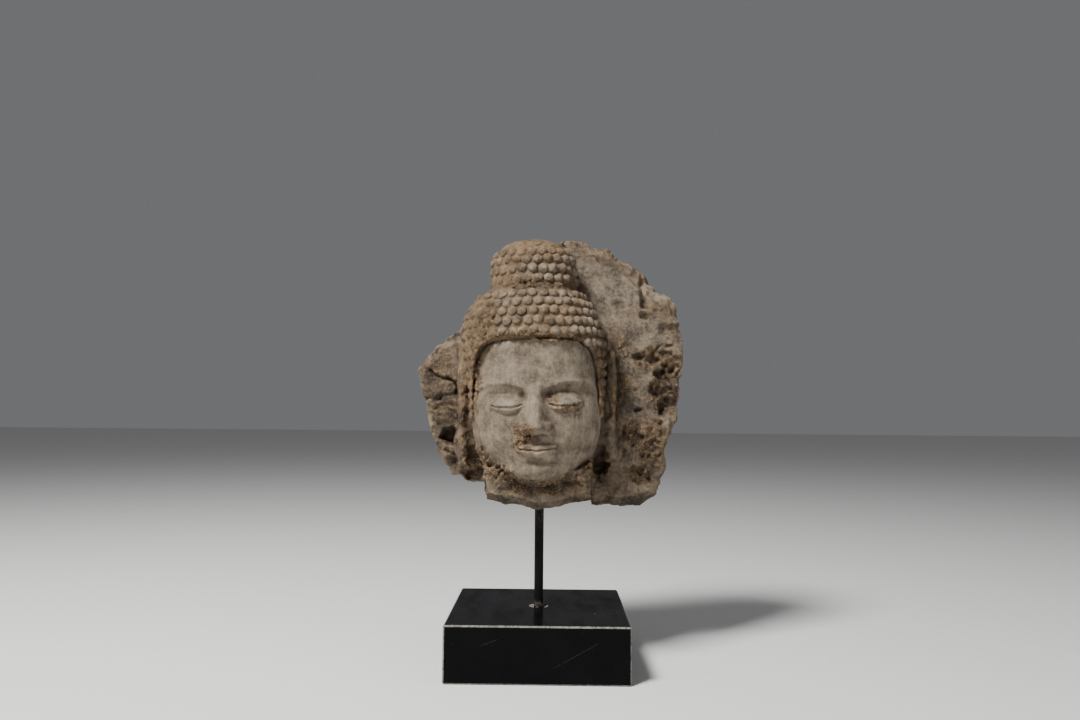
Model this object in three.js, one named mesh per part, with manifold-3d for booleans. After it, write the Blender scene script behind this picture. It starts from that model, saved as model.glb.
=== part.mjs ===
import * as THREE from 'three';
import { mergeVertices } from 'three/addons/utils/BufferGeometryUtils.js';
import Module from 'manifold-3d';

// A Buddha head carved in high relief on a broken piece of halo slab, held up by a steel rod
// in a polished stone plinth. Millimetres, +Z up, the face looks along -Y, and the origin is
// the middle of the plinth's underside.

// Plinth
const plinthWidth = 150;
const plinthDepth = 150;
const plinthHeight = 46;
const plinthChamfer = 1.3;
const plinthBoreDepth = 26;
const countersinkDiameter = 17;
const countersinkDepth = 1.6;

// Support rod and its fits
const rodDiameter = 8;
const rodExposed = 84;
const fitClearance = 0.3;
const socketDepth = 28;

// Stone. The face height, from chin to hairline, is the carver's module: the free form
// keeps its proportions as shares of it. What can differ by itself has its own length.
const faceHeight = 118;
const neckWidth = 88;
const slabThickness = 42;
const curlPitch = 9;
const curlHeight = 3.2;
const hairThickness = 3.4;
const headLean = THREE.MathUtils.degToRad(2);

const module = (length) => length / faceHeight;
const neckHalfWidth = module(neckWidth) / 2;
const slabDepth = module(slabThickness);
const pitch = module(curlPitch);
const curlRaise = module(curlHeight);
const hairRaise = module(hairThickness);

const wasm = await Module();
wasm.setup();

// Small functions that the carving is made of

const { clamp, smoothstep, lerp, degToRad } = THREE.MathUtils;

const hump = (distance, width) => Math.exp(-((distance / width) ** 2));
const hump2 = (across, width, along, height) => hump(across, width) * hump(along, height);
const within = (value, low, high, blend) =>
  smoothstep(value, low - blend, low + blend) * (1 - smoothstep(value, high - blend, high + blend));

function scatter(a, b) {
  const wave = Math.sin(a * 127.1 + b * 311.7) * 43758.5453;
  return wave - Math.floor(wave);
}

function softUnion(first, second, blend) {
  const share = clamp(0.5 + (0.5 * (second - first)) / blend, 0, 1);
  return lerp(second, first, share) - blend * share * (1 - share);
}

function ellipsoid(x, y, z, [radiusX, radiusY, radiusZ]) {
  const reach = Math.hypot(x / radiusX, y / radiusY, z / radiusZ);
  const slope = Math.hypot(x / radiusX ** 2, y / radiusY ** 2, z / radiusZ ** 2);
  return slope < 1e-9 ? -Math.min(radiusX, radiusY, radiusZ) : (reach * (reach - 1)) / slope;
}

function squareDome(x, y, z, [radiusX, radiusY, radiusZ], power) {
  const sum = Math.abs(x / radiusX) ** power + Math.abs(y / radiusY) ** power
    + Math.abs(z / radiusZ) ** power;
  return (sum ** (1 / power) - 1) * Math.min(radiusX, radiusY, radiusZ);
}

// The head's own frame: x across, y back, h up from the chin, in face heights.

const chinRise = 0.237;
const slabFrontDepth = 0.07;
const backCut = slabFrontDepth + slabDepth - 0.04;
const topknotCentre = 1.49;
const neckFront = -0.32;
const neckArris = 0.022;

// The stub of the neck: a squared block with bevelled arrises that runs up under the jaw
function neck(x, y, h) {
  const sides = Math.abs(x) - neckHalfWidth;
  const front = neckFront - y;
  const arris = (sides + front) * Math.SQRT1_2 + neckArris;
  const top = h + 0.005 - 0.42 * Math.max(0, Math.abs(x) - 0.12);
  return Math.max(sides, front, arris, top);
}

function skin(x, y, h) {
  const skull = ellipsoid(x, y - 0.03, h - 0.9, [0.49, 0.54, 0.62]);
  const cheeks = squareDome(x, y + 0.06, h - 0.46, [0.475, 0.465, 0.5], 2.35);
  const chin = ellipsoid(x, y + 0.35, h - 0.1, [0.2, 0.16, 0.12]);
  const topknot = squareDome(x, y - 0.03, h - topknotCentre, [0.285, 0.3, 0.275], 2.6);
  let form = softUnion(skull, cheeks, 0.08);
  form = softUnion(form, chin, 0.1);
  form = softUnion(form, topknot, 0.035);
  return softUnion(form, neck(x, y, h), 0.03);
}

// Carving of the face, on the canon's thirds: chin 0, nose base 1/3, brow 2/3, hairline 1.

const eyeHeight = 0.56;
const eyeOut = 0.205;
const mouthHeight = 0.222;
const noseBase = 0.335;

function browAndEye(side, h) {
  const arch = 0.648 + 0.05 * Math.sin(Math.PI * clamp((side - 0.06) / 0.42, 0, 1));
  const crest = 0.01 * hump(h - arch, 0.018) * within(side, 0.07, 0.42, 0.03);
  const socket = 0.05 * hump2(side - 0.2, 0.15, h - 0.6, 0.07);
  const innerCorner = 0.03 * hump2(side - 0.095, 0.035, h - 0.58, 0.055);
  const across = (side - eyeOut) / 0.145;
  const slitHeight = eyeHeight - 0.012 - 0.016 * (1 - ((side - eyeOut) / 0.12) ** 2);
  const above = Math.max(0, h - slitHeight);
  const below = Math.max(0, slitHeight - h);
  const ball = clamp(1 - across ** 2 - (above / 0.095) ** 2 - (below / 0.062) ** 2, 0, 1);
  const span = within(side, eyeOut - 0.108, eyeOut + 0.114, 0.016);
  const lid = 0.062 * ball ** 1.15;
  const sliver = 1 - 0.55 * smoothstep(below, 0.014, 0.022);
  const opening = 0.013 * smoothstep(below, 0, 0.007) * sliver * span;
  return crest - socket - innerCorner + lid - opening;
}

function nose(side, h) {
  const rise = clamp((0.68 - h) / (0.68 - noseBase), 0, 1);
  const bridge = lerp(0.035, 0.135, rise ** 1.25);
  const halfWidth = lerp(0.044, 0.07, rise);
  const under = smoothstep(h, noseBase - 0.016, noseBase + 0.05) ** 0.8;
  const root = 1 - smoothstep(h, 0.6, 0.74);
  const ridge = bridge * Math.exp(-((side / halfWidth) ** 2.6)) * under * root;
  const wingReach = clamp(1 - ((side - 0.072) / 0.052) ** 2 - ((h - 0.374) / 0.05) ** 2, 0, 1);
  const wing = 0.056 * wingReach ** 0.6;
  return Math.max(ridge, wing) + 0.25 * Math.min(ridge, wing);
}

function mouth(side, h) {
  const muzzle = 0.028 * hump2(side, 0.19, h - 0.225, 0.1);
  const corner = clamp(1 - (side / 0.158) ** 2, 0, 1);
  const line = mouthHeight + 0.014 * (side / 0.158) ** 2 - 0.006 * hump(side, 0.03);
  const bow = 0.047 * corner ** 0.7 * (1 - 0.22 * hump(side, 0.022));
  const bowl = 0.056 * corner ** 0.8;
  const upper = clamp((h - line) / Math.max(bow, 0.004), 0, 1);
  const lower = clamp((line - h) / Math.max(bowl, 0.004), 0, 1);
  const fullness = h > line ? Math.sqrt(1 - upper ** 2) : Math.sqrt(1 - lower ** 2);
  const lips = 0.034 * Math.sqrt(corner) * fullness;
  const parting = 0.02 * hump(h - line, 0.008) * smoothstep(corner, 0, 0.2);
  const cornerDimple = 0.012 * hump2(side - 0.168, 0.02, h - mouthHeight - 0.012, 0.02);
  const philtrum = 0.01 * hump(side, 0.018) * within(h, 0.275, 0.32, 0.01);
  const underLip = 0.022 * hump2(side, 0.1, h - 0.135, 0.028);
  return muzzle + lips - parting - cornerDimple - philtrum - underLip;
}

function faceCarving(x, h) {
  const side = Math.abs(x);
  const cheek = 0.014 * hump2(side - 0.26, 0.11, h - 0.4, 0.12);
  const chinBall = 0.014 * hump2(side, 0.085, h - 0.065, 0.045);
  return browAndEye(side, h) + nose(side, h) + mouth(side, h) + cheek + chinBall;
}

// Hair: a cap over a hairline that runs flat over the forehead and down before the ears.

const hairlineHalfWidth = 0.462;
const sideHairEnd = 0.44;

function hairDistance(x, h) {
  const reach = (Math.abs(x) / hairlineHalfWidth) ** 6 + Math.max(h, 0) ** 6;
  return reach ** (1 / 6) - 1;
}

function hairShare(x, h) {
  const aboveEnd = smoothstep(h, sideHairEnd - 0.02, sideHairEnd + 0.02);
  return smoothstep(hairDistance(x, h), 0, 0.018) * aboveEnd;
}

function headSurface(x, y, h) {
  const hair = hairShare(x, h);
  const carved = faceCarving(x, h) * smoothstep(-y, 0.12, 0.3) * (1 - hair);
  const thickness = hairRaise * hair * lerp(0.4, 1, smoothstep(h, sideHairEnd, 0.8));
  const form = skin(x, y, h) - carved - thickness;
  return Math.max(form, y - backCut);
}

// Points of the head's surface, along rays from its axis

function surfacePoint(ring, angle, raise) {
  const direction = [
    Math.sin(angle) * Math.cos(ring.elevation),
    -Math.cos(angle) * Math.cos(ring.elevation),
    Math.sin(ring.elevation),
  ];
  const at = (reach) => [
    direction[0] * reach,
    direction[1] * reach,
    ring.height + direction[2] * reach,
  ];
  let inside = 0.9;
  const step = 0.01;
  while (inside > step && headSurface(...at(inside)) > raise) inside -= step;
  let outside = inside + step;
  for (let halving = 0; halving < 14; halving += 1) {
    const middle = (inside + outside) / 2;
    if (headSurface(...at(middle)) > raise) outside = middle;
    else inside = middle;
  }
  return at(inside);
}

// Angles of a ring: fine over the face, coarser on the cheeks, coarse where the slab hides it

const sideLimit = degToRad(92);

function faceAngles(limit, fine) {
  const angles = [0];
  let angle = 0;
  while (true) {
    const degrees = THREE.MathUtils.radToDeg(angle);
    let step = degrees < 21 ? 2.6 : degrees < 42 ? 3.9 : 7.5;
    if (!fine) step = 9.5;
    angle += degToRad(step);
    if (angle > limit - degToRad(2)) break;
    angles.push(angle, -angle);
  }
  return angles;
}

function backAngles() {
  const angles = [];
  for (let degrees = 112; degrees <= 248; degrees += 22) {
    angles.push(degToRad(degrees > 180 ? degrees - 360 : degrees));
  }
  return angles;
}

function hairEdgeAngle(ring) {
  for (let angle = 0; angle < sideLimit; angle += 0.02) {
    const [x, , h] = surfacePoint(ring, angle, 0);
    if (hairDistance(x, h) > 0.012) return angle;
  }
  return sideLimit;
}

// Angles of curl centres along a row, evenly spaced on the surface from a first step

function curlAngles(ring, start, firstStep) {
  const angles = [];
  let travelled = pitch - firstStep;
  let previous = surfacePoint(ring, start, 0);
  for (let angle = start; angle < sideLimit; angle += 0.012) {
    const point = surfacePoint(ring, angle, 0);
    travelled += Math.hypot(point[0] - previous[0], point[1] - previous[1], point[2] - previous[2]);
    previous = point;
    if (travelled >= pitch) {
      angles.push(angle);
      travelled -= pitch;
    }
  }
  return angles;
}

// Curls are worn on the topknot's left side and crown, and a few are broken anywhere.
function wornCurl(x, h, row, index) {
  const leftCrown = smoothstep(-x, -0.06, 0.16) * smoothstep(h, 1.4, 1.5);
  const crown = smoothstep(h, 1.68, 1.76);
  const leftSide = 0.55 * smoothstep(-x, 0.36, 0.46) * smoothstep(h, 0.9, 1.05);
  const luck = scatter(row + 0.37, index + 0.11) < 0.06 ? 0.5 : 0;
  return 1 - clamp(Math.max(leftCrown * 0.65, crown * 0.75, leftSide) + luck, 0, 0.85);
}

// One row of curls as the angles of centres, shoulders and the saddles between them

function rowPattern(ring, edge, row) {
  const staggered = row % 2 === 1;
  const fullRow = edge === 0;
  const firstStep = staggered ? pitch / 2 : pitch;
  const half = curlAngles(ring, edge, firstStep);
  const centres = [...half, ...half.map((angle) => -angle)];
  if (fullRow && !staggered) centres.push(0);
  centres.sort((a, b) => a - b);
  return centres.map((angle, index) => {
    const [x, , h] = surfacePoint(ring, angle, 0);
    return { angle, size: wornCurl(x, h, row, index) };
  });
}

function curlSamples(pattern, shares) {
  const samples = [];
  pattern.forEach((curl, index) => {
    samples.push({ angle: curl.angle, raise: curlRaise * curl.size * shares.centre });
    const next = pattern[index + 1];
    if (!next || next.angle - curl.angle > 0.6) return;
    const gap = next.angle - curl.angle;
    if (shares.shoulder) {
      samples.push({ angle: curl.angle + gap * 0.24, raise: curlRaise * curl.size * shares.shoulder });
      samples.push({ angle: next.angle - gap * 0.24, raise: curlRaise * next.size * shares.shoulder });
    }
    samples.push({ angle: curl.angle + gap / 2, raise: curlRaise * shares.saddle });
  });
  return samples;
}

function ringPoints(ring, samples) {
  return samples
    .map(({ angle, raise }) => ({ angle, point: surfacePoint(ring, angle, raise) }))
    .sort((a, b) => a.angle - b.angle);
}

const flat = (angles) => angles.map((angle) => ({ angle, raise: 0 }));

// A ring that meets the hair: face samples inside the hairline, curls outside it
function hairRing(ring, pattern, shares, fine) {
  const edge = hairEdgeAngle(ring);
  const samples = curlSamples(pattern, shares);
  if (edge > 0) samples.push(...flat(faceAngles(edge, fine)), ...flat([edge, -edge]));
  samples.push(...flat(backAngles()));
  return ringPoints(ring, samples);
}

// Heights of the rows of curls, and how a row's rings lie on the topknot's crown

const firstRow = 1.059;
const sideRows = 8;
const capRows = [firstRow, 1.132, 1.204, 1.274, 1.339];
const topknotRows = [1.462, 1.535, 1.61];
const crownElevations = [24, 42, 60, 76].map(degToRad);

function rowRings() {
  const rings = [];
  for (let row = sideRows; row > 0; row -= 1) {
    rings.push({ height: firstRow - row * pitch * 0.96, elevation: 0 });
  }
  for (const height of [...capRows, ...topknotRows]) rings.push({ height, elevation: 0 });
  for (const elevation of crownElevations) rings.push({ height: topknotCentre + 0.05, elevation });
  return rings;
}

const between = (first, second, share) => ({
  height: lerp(first.height, second.height, share),
  elevation: lerp(first.elevation, second.elevation, share),
});

function hairRings() {
  const rows = rowRings();
  const centre = { centre: 1, shoulder: 0.78, saddle: 0.12 };
  const shoulder = { centre: 0.74, saddle: 0.08 };
  const valley = { centre: 0.02, saddle: 0 };
  const rings = [];
  rows.forEach((ring, row) => {
    const edge = hairEdgeAngle(ring);
    const pattern = rowPattern(ring, edge, row);
    const below = rows[row - 1] ?? { height: ring.height - pitch, elevation: 0 };
    const above = rows[row + 1] ?? { height: ring.height, elevation: degToRad(86) };
    const fine = ring.height < 0.74;
    const forehead = !fine && edge > 0;
    if (!forehead) rings.push(hairRing(between(below, ring, 0.76), pattern, shoulder, fine));
    rings.push(hairRing(ring, pattern, centre, fine));
    if (!forehead) rings.push(hairRing(between(ring, above, 0.24), pattern, shoulder, fine));
    if (rows[row + 1]) rings.push(hairRing(between(ring, above, 0.5), pattern, valley, fine));
  });
  return rings;
}

// Rings below the hair: chin, mouth and nose, with finer steps where the carving is finer

function faceRings() {
  const rings = [];
  let height = -0.09;
  while (height < firstRow - (sideRows + 0.6) * pitch * 0.96) {
    const ring = { height, elevation: 0 };
    const angles = [...faceAngles(sideLimit, height > -0.06), ...backAngles()];
    rings.push(ringPoints(ring, flat(angles)));
    const nearChin = height < 0.05;
    const nearCarving = height > 0.15 && height < 0.42;
    height += nearChin ? 0.024 : nearCarving ? 0.0188 : 0.032;
  }
  return rings;
}

// The neck ends in a break that is lowest near the middle.

function neckBreak(x) {
  const lowest = 0.022 - chinRise;
  return lowest + (x < -0.03 ? 0.32 : 0.2) * Math.abs(x + 0.03);
}

function neckRings(lowestRing) {
  return [1, 0.5].map((share) => lowestRing.map(({ angle, point: [x, y, h] }) => {
    const ripple = 0.012 * (scatter(angle, 3) - 0.5);
    const chipped = share === 1 ? 0.97 : 1;
    return { angle, point: [x * chipped, y * chipped, lerp(h, neckBreak(x) + ripple, share)] };
  }));
}

// A closed body from rings that may hold unlike numbers of points

function zipRings(rings, bottom, top, place) {
  const positions = [];
  const faces = [];
  const add = (point) => {
    positions.push(...place(point));
    return positions.length / 3 - 1;
  };
  const numbered = rings.map((ring) => ring.map(({ angle, point }) => ({ angle, id: add(point) })));
  for (let level = 0; level + 1 < numbered.length; level += 1) {
    const lower = numbered[level];
    const upper = numbered[level + 1];
    let i = 0;
    let j = 0;
    while (i < lower.length || j < upper.length) {
      const nextLower = i < lower.length ? (lower[i + 1]?.angle ?? Math.PI * 2 + lower[0].angle) : Infinity;
      const nextUpper = j < upper.length ? (upper[j + 1]?.angle ?? Math.PI * 2 + upper[0].angle) : Infinity;
      const a = lower[i % lower.length].id;
      const b = upper[j % upper.length].id;
      if (nextLower <= nextUpper) {
        faces.push(a, lower[(i + 1) % lower.length].id, b);
        i += 1;
      } else {
        faces.push(a, upper[(j + 1) % upper.length].id, b);
        j += 1;
      }
    }
  }
  const fan = (ring, pole, facingUp) => ring.forEach(({ id }, index) => {
    const next = ring[(index + 1) % ring.length].id;
    faces.push(...(facingUp ? [id, next, pole] : [next, id, pole]));
  });
  fan(numbered[0], add(bottom), false);
  fan(numbered[numbered.length - 1], add(top), true);
  const geometry = new THREE.BufferGeometry();
  geometry.setAttribute('position', new THREE.Float32BufferAttribute(positions, 3));
  geometry.setIndex(faces);
  return geometry;
}

const stoneBase = plinthHeight + rodExposed;

function placeHead([x, y, h]) {
  const rise = h + chinRise;
  return [
    (x * Math.cos(headLean) - rise * Math.sin(headLean)) * faceHeight,
    y * faceHeight,
    (x * Math.sin(headLean) + rise * Math.cos(headLean)) * faceHeight + stoneBase,
  ];
}

function headGeometry() {
  const face = faceRings();
  const rings = [...neckRings(face[0]), ...face, ...hairRings()];
  const crown = surfacePoint({ height: topknotCentre + 0.05, elevation: degToRad(90) }, 0, 0);
  return zipRings(rings, [0, 0.03, neckBreak(0)], crown, placeHead);
}

// Ears: long worn strips that swell into lobes. Behind each, the stone is left between the
// side hair and the slab, and the lobe hangs free of the jaw.

const earTop = 0.95;
const earEnd = 0.105;
const earLevels = 11;
const earSides = 10;
const earWeb = 0.12;

function earGeometry(direction) {
  const rings = [];
  for (let level = 0; level < earLevels; level += 1) {
    const share = (level + 0.25) / (earLevels - 0.5);
    const height = lerp(earEnd, earTop, share);
    const round = Math.min(1, Math.sqrt(1 - (2 * share - 1) ** 8));
    const lobe = hump(share - 0.12, 0.15);
    const across = (0.043 + 0.014 * lobe - 0.006 * hump(share - 0.4, 0.15)) * round;
    const front = (0.13 + 0.02 * share + 0.02 * lobe) * round;
    const middle = direction * (0.558 + direction * lerp(-0.018, 0.016, share));
    const web = earWeb * smoothstep(share, 0.2, 0.34);
    const points = [];
    for (let side = 0; side < earSides; side += 1) {
      const angle = (side / earSides) * Math.PI * 2 - Math.PI;
      const y = slabFrontDepth - front * Math.cos(angle);
      const inner = Math.sin(angle) * direction < 0.1 ? smoothstep(y, -0.03, 0.04) : 0;
      points.push({ angle, point: [middle + across * Math.sin(angle) - direction * web * inner, y, height] });
    }
    rings.push(points);
  }
  const low = rings[0][0].point;
  const high = rings[earLevels - 1][0].point;
  return zipRings(
    rings,
    [low[0], slabFrontDepth, earEnd],
    [high[0], slabFrontDepth, earTop],
    placeHead,
  );
}

// The broken slab: its outline in face heights from the rod's socket, clockwise from the peak

const slabCentre = [0.08, 0.95];
const slabOutline = [
  [0.1, 2.0], [0.2, 2.075], [0.44, 2.02], [0.71, 1.86], [0.86, 1.69], [1.01, 1.59],
  [1.08, 1.27], [1.09, 0.92], [1.03, 0.63], [0.97, 0.42], [0.97, 0.3], [0.88, 0.1],
  [0.78, 0.02], [0.27, 0.04], [-0.28, 0.07], [-0.4, 0.12], [-0.42, 0.19], [-0.55, 0.195],
  [-0.72, 0.26], [-0.78, 0.47], [-0.88, 0.8], [-0.94, 1.04], [-0.87, 1.15], [-0.6, 1.36],
  [-0.38, 1.48], [-0.17, 1.82],
];

function outlineReach(angle) {
  const direction = [Math.cos(angle), Math.sin(angle)];
  let reach = 0;
  slabOutline.forEach(([x, z], index) => {
    const [nextX, nextZ] = slabOutline[(index + 1) % slabOutline.length];
    const [startX, startZ] = [x - slabCentre[0], z - slabCentre[1]];
    const [alongX, alongZ] = [nextX - x, nextZ - z];
    const turn = direction[0] * alongZ - direction[1] * alongX;
    const distance = (startX * alongZ - startZ * alongX) / turn;
    const share = (startX * direction[1] - startZ * direction[0]) / turn;
    if (share >= -1e-9 && share <= 1 + 1e-9 && distance > 0) reach = Math.max(reach, distance);
  });
  return reach + 0.012 * (scatter(angle, 7) - 0.5);
}

// Hollows and breaks in the slab's front: centre, radii and depth in face heights

const slabPits = [
  [0.94, 0.92, 0.12, 0.15, 0.13],
  [0.69, 0.57, 0.08, 0.09, 0.04],
  [0.83, 0.43, 0.06, 0.08, 0.035],
  [0.76, 0.25, 0.06, 0.08, 0.035],
  [-0.69, 0.52, 0.09, 0.07, 0.1],
  [-0.49, 0.24, 0.1, 0.07, 0.09],
  [-0.7, 0.96, 0.1, 0.05, 0.04],
  [0.45, 0.33, 0.08, 0.12, 0.12],
];

function slabFront(x, z) {
  let depth = slabFrontDepth;
  for (const [pitX, pitZ, radiusX, radiusZ, deep] of slabPits) {
    const reach = clamp(1 - ((x - pitX) / radiusX) ** 2 - ((z - pitZ) / radiusZ) ** 2, 0, 1);
    depth += deep * Math.sqrt(reach);
  }
  const topBreak = Math.max(0, 0.6 * (x - 0.2) + 0.8 * (z - 1.7));
  const rightBreak = Math.max(0, x - 0.86) * within(z, 1.05, 1.6, 0.06);
  const lowerBreak = Math.max(0, 0.13 - z) * smoothstep(x, 0.2, 0.4);
  const leftBreak = Math.max(0, -0.8 - x) * 0.5 + Math.max(0, -x - 0.5) * 0.12;
  const step = 0.03 * smoothstep(x, 0.76, 0.78) * within(z, 1.48, 1.7, 0.03);
  return depth + 0.35 * topBreak + 0.5 * rightBreak + 1.1 * lowerBreak + leftBreak + step;
}

function slabGeometry() {
  const corners = slabOutline.map(([x, z]) => Math.atan2(z - slabCentre[1], x - slabCentre[0]));
  const angles = [...corners];
  corners.sort((a, b) => a - b).forEach((angle, index) => {
    const next = corners[index + 1] ?? corners[0] + Math.PI * 2;
    const pieces = Math.max(1, Math.round((next - angle) / 0.165));
    for (let piece = 1; piece < pieces; piece += 1) {
      const inner = lerp(angle, next, piece / pieces);
      angles.push(inner > Math.PI ? inner - Math.PI * 2 : inner);
    }
  });
  angles.sort((a, b) => a - b);
  const back = slabFrontDepth + slabDepth;
  const level = (share, depthAt) => angles.map((angle) => {
    const reach = outlineReach(angle) * share;
    const x = slabCentre[0] + reach * Math.cos(angle);
    const z = slabCentre[1] + reach * Math.sin(angle);
    return { angle, point: [x, depthAt(x, z), z] };
  });
  const rough = (x, z) => back - 0.03 * scatter(Math.round(x * 9), Math.round(z * 9));
  const rings = [
    level(0.6, rough),
    level(0.9, rough),
    level(0.975, () => back - 0.05),
    level(1, (x, z) => Math.max(0.19, slabFront(x, z) + 0.09)),
    level(0.985, (x, z) => slabFront(x, z) + 0.035),
  ];
  for (const share of [0.94, 0.88, 0.81, 0.74, 0.66, 0.56]) rings.push(level(share, slabFront));
  const place = ([x, y, z]) => [x * faceHeight, y * faceHeight, z * faceHeight + stoneBase];
  const [x, z] = slabCentre;
  return zipRings(rings, [x, back, z], [x, slabFront(x, z), z], place);
}

// Joins and cuts

function toSolid(geometry) {
  const bare = geometry.clone();
  bare.deleteAttribute('normal');
  bare.deleteAttribute('uv');
  const merged = mergeVertices(bare, 1e-4);
  return new wasm.Manifold(new wasm.Mesh({
    numProp: 3,
    vertProperties: new Float32Array(merged.attributes.position.array),
    triVerts: new Uint32Array(merged.index.array),
  }));
}

function toGeometry(solid) {
  const mesh = solid.getMesh();
  const geometry = new THREE.BufferGeometry();
  geometry.setAttribute('position', new THREE.BufferAttribute(mesh.vertProperties, 3));
  geometry.setIndex(new THREE.BufferAttribute(mesh.triVerts, 1));
  return geometry;
}

const roundSides = 24;

function upright(diameter, bottom, top) {
  const geometry = new THREE.CylinderGeometry(diameter / 2, diameter / 2, top - bottom, roundSides);
  geometry.rotateX(Math.PI / 2);
  geometry.translate(0, 0, (top + bottom) / 2);
  return geometry;
}

const holeDiameter = rodDiameter + 2 * fitClearance;
const rodBottom = plinthHeight - plinthBoreDepth + fitClearance;
const rodTop = stoneBase + socketDepth - fitClearance;

function buildStone() {
  const socket = upright(holeDiameter, stoneBase - 0.2 * faceHeight, stoneBase + socketDepth);
  return toGeometry(toSolid(headGeometry())
    .add(toSolid(slabGeometry()))
    .add(toSolid(earGeometry(1)))
    .add(toSolid(earGeometry(-1)))
    .subtract(toSolid(socket)));
}

// The block is a square frustum stack: chamfered at its top, its foot and its corners.
function buildPlinth() {
  const outline = new THREE.Shape();
  const halfWidth = plinthWidth / 2;
  const halfDepth = plinthDepth / 2;
  const cut = plinthChamfer;
  outline.moveTo(-halfWidth + cut, -halfDepth);
  outline.lineTo(halfWidth - cut, -halfDepth);
  outline.lineTo(halfWidth, -halfDepth + cut);
  outline.lineTo(halfWidth, halfDepth - cut);
  outline.lineTo(halfWidth - cut, halfDepth);
  outline.lineTo(-halfWidth + cut, halfDepth);
  outline.lineTo(-halfWidth, halfDepth - cut);
  outline.lineTo(-halfWidth, -halfDepth + cut);
  outline.closePath();
  const block = new THREE.ExtrudeGeometry(outline, {
    depth: plinthHeight - 2 * cut,
    bevelEnabled: true,
    bevelSegments: 1,
    bevelThickness: cut,
    bevelSize: cut,
    bevelOffset: -cut,
    steps: 1,
  });
  block.translate(0, 0, cut);
  const bore = upright(holeDiameter, plinthHeight - plinthBoreDepth, plinthHeight + cut);
  const flare = countersinkDiameter - holeDiameter;
  const countersink = new THREE.CylinderGeometry(
    holeDiameter / 2 + flare,
    holeDiameter / 2,
    2 * countersinkDepth,
    roundSides,
  );
  countersink.rotateX(Math.PI / 2);
  countersink.translate(0, 0, plinthHeight);
  return toGeometry(toSolid(block).subtract(toSolid(bore)).subtract(toSolid(countersink)));
}

const limestone = new THREE.MeshStandardMaterial({ color: 0x968878, roughness: 0.88, metalness: 0 });
const blackSteel = new THREE.MeshStandardMaterial({ color: 0x1c1c1b, roughness: 0.45, metalness: 0.6 });
const blackStone = new THREE.MeshStandardMaterial({ color: 0x0b0b0b, roughness: 0.18, metalness: 0 });

function piece(name, geometry, material) {
  const mesh = new THREE.Mesh(geometry, material);
  mesh.name = name;
  return mesh;
}

const object = new THREE.Group();
object.add(piece('plinth', buildPlinth(), blackStone));
object.add(piece('support_rod', upright(rodDiameter, rodBottom, rodTop), blackSteel));
object.add(piece('stone_head', buildStone(), limestone));

export default object;
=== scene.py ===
import math

import bpy
import numpy as np
from bpy.props import FloatProperty, FloatVectorProperty, IntProperty, PointerProperty
from mathutils import Matrix, Vector


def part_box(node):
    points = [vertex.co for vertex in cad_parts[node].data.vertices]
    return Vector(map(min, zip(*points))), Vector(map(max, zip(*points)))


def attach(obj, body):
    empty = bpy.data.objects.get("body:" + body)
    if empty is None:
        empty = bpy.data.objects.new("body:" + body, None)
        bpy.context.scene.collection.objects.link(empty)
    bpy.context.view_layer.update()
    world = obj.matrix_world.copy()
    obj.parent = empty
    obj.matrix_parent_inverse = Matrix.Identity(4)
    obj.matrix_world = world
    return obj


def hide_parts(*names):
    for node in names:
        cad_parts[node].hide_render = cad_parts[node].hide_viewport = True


bl_info = {
    "name": "Carved stone head",
    "version": (1, 0, 0),
    "blender": (4, 5, 0),
    "location": "View3D > Sidebar > Stone head",
    "description": "A high relief head on a broken halo slab, on a rod in a polished plinth",
    "category": "Object",
}

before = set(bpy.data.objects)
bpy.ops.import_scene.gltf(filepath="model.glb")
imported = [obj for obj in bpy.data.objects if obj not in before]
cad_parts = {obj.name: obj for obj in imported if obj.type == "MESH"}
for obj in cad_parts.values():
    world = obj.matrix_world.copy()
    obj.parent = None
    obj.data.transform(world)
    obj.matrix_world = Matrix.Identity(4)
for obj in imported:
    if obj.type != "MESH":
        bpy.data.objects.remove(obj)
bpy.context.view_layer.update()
STONE_LOW, STONE_HIGH = (np.array(corner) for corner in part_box("stone_head"))
PLINTH_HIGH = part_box("plinth")[1]
ROD_LOW, ROD_HIGH = (np.array(corner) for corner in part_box("support_rod"))

# Fits and cuts that the CAD parts have, in metres
ROD_RADIUS = (ROD_HIGH[0] - ROD_LOW[0]) / 2
SOCKET_CLEARANCE = 0.0003
PLINTH_CUT = 0.0013
BORE_MOUTH = 0.0085


# Sizes and colours that a user would change

def length_setting(name, description, value):
    return FloatProperty(name=name, description=description, default=value, unit="LENGTH")


def share_setting(name, description, value):
    return FloatProperty(name=name, description=description, default=value, subtype="FACTOR")


def colour_setting(name, description, value):
    return FloatVectorProperty(
        name=name, description=description, default=value, size=3, subtype="COLOR", min=0, max=1)


class CarvingSettings(bpy.types.PropertyGroup):
    face_height: length_setting("Face height", "Chin to hairline, the carver's module", 0.118)
    stone_base: length_setting("Stone base", "Height of the rod's entry into the stone", 0.130)
    voxel: length_setting("Voxel", "Step of the grid that the stone is carved in", 0.00085)
    triangles: IntProperty(
        name="Triangles", description="Triangles that the stone keeps before its curls are added",
        default=145000)
    head_lean: FloatProperty(
        name="Head lean", description="How far the head leans to its right",
        default=math.radians(2), unit="ROTATION")
    seed: IntProperty(name="Seed", description="Start of every random draw", default=7)


class HairSettings(bpy.types.PropertyGroup):
    curl_pitch: length_setting("Curl pitch", "Distance between curls along a row", 0.009)
    curl_width: length_setting("Curl width", "Width of a whole curl at its foot", 0.0089)
    curl_height: length_setting("Curl height", "How far a whole curl stands out of the hair", 0.0036)
    curl_wear: length_setting("Curl wear", "How far wear has moved a curl's surface", 0.0007)


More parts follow.
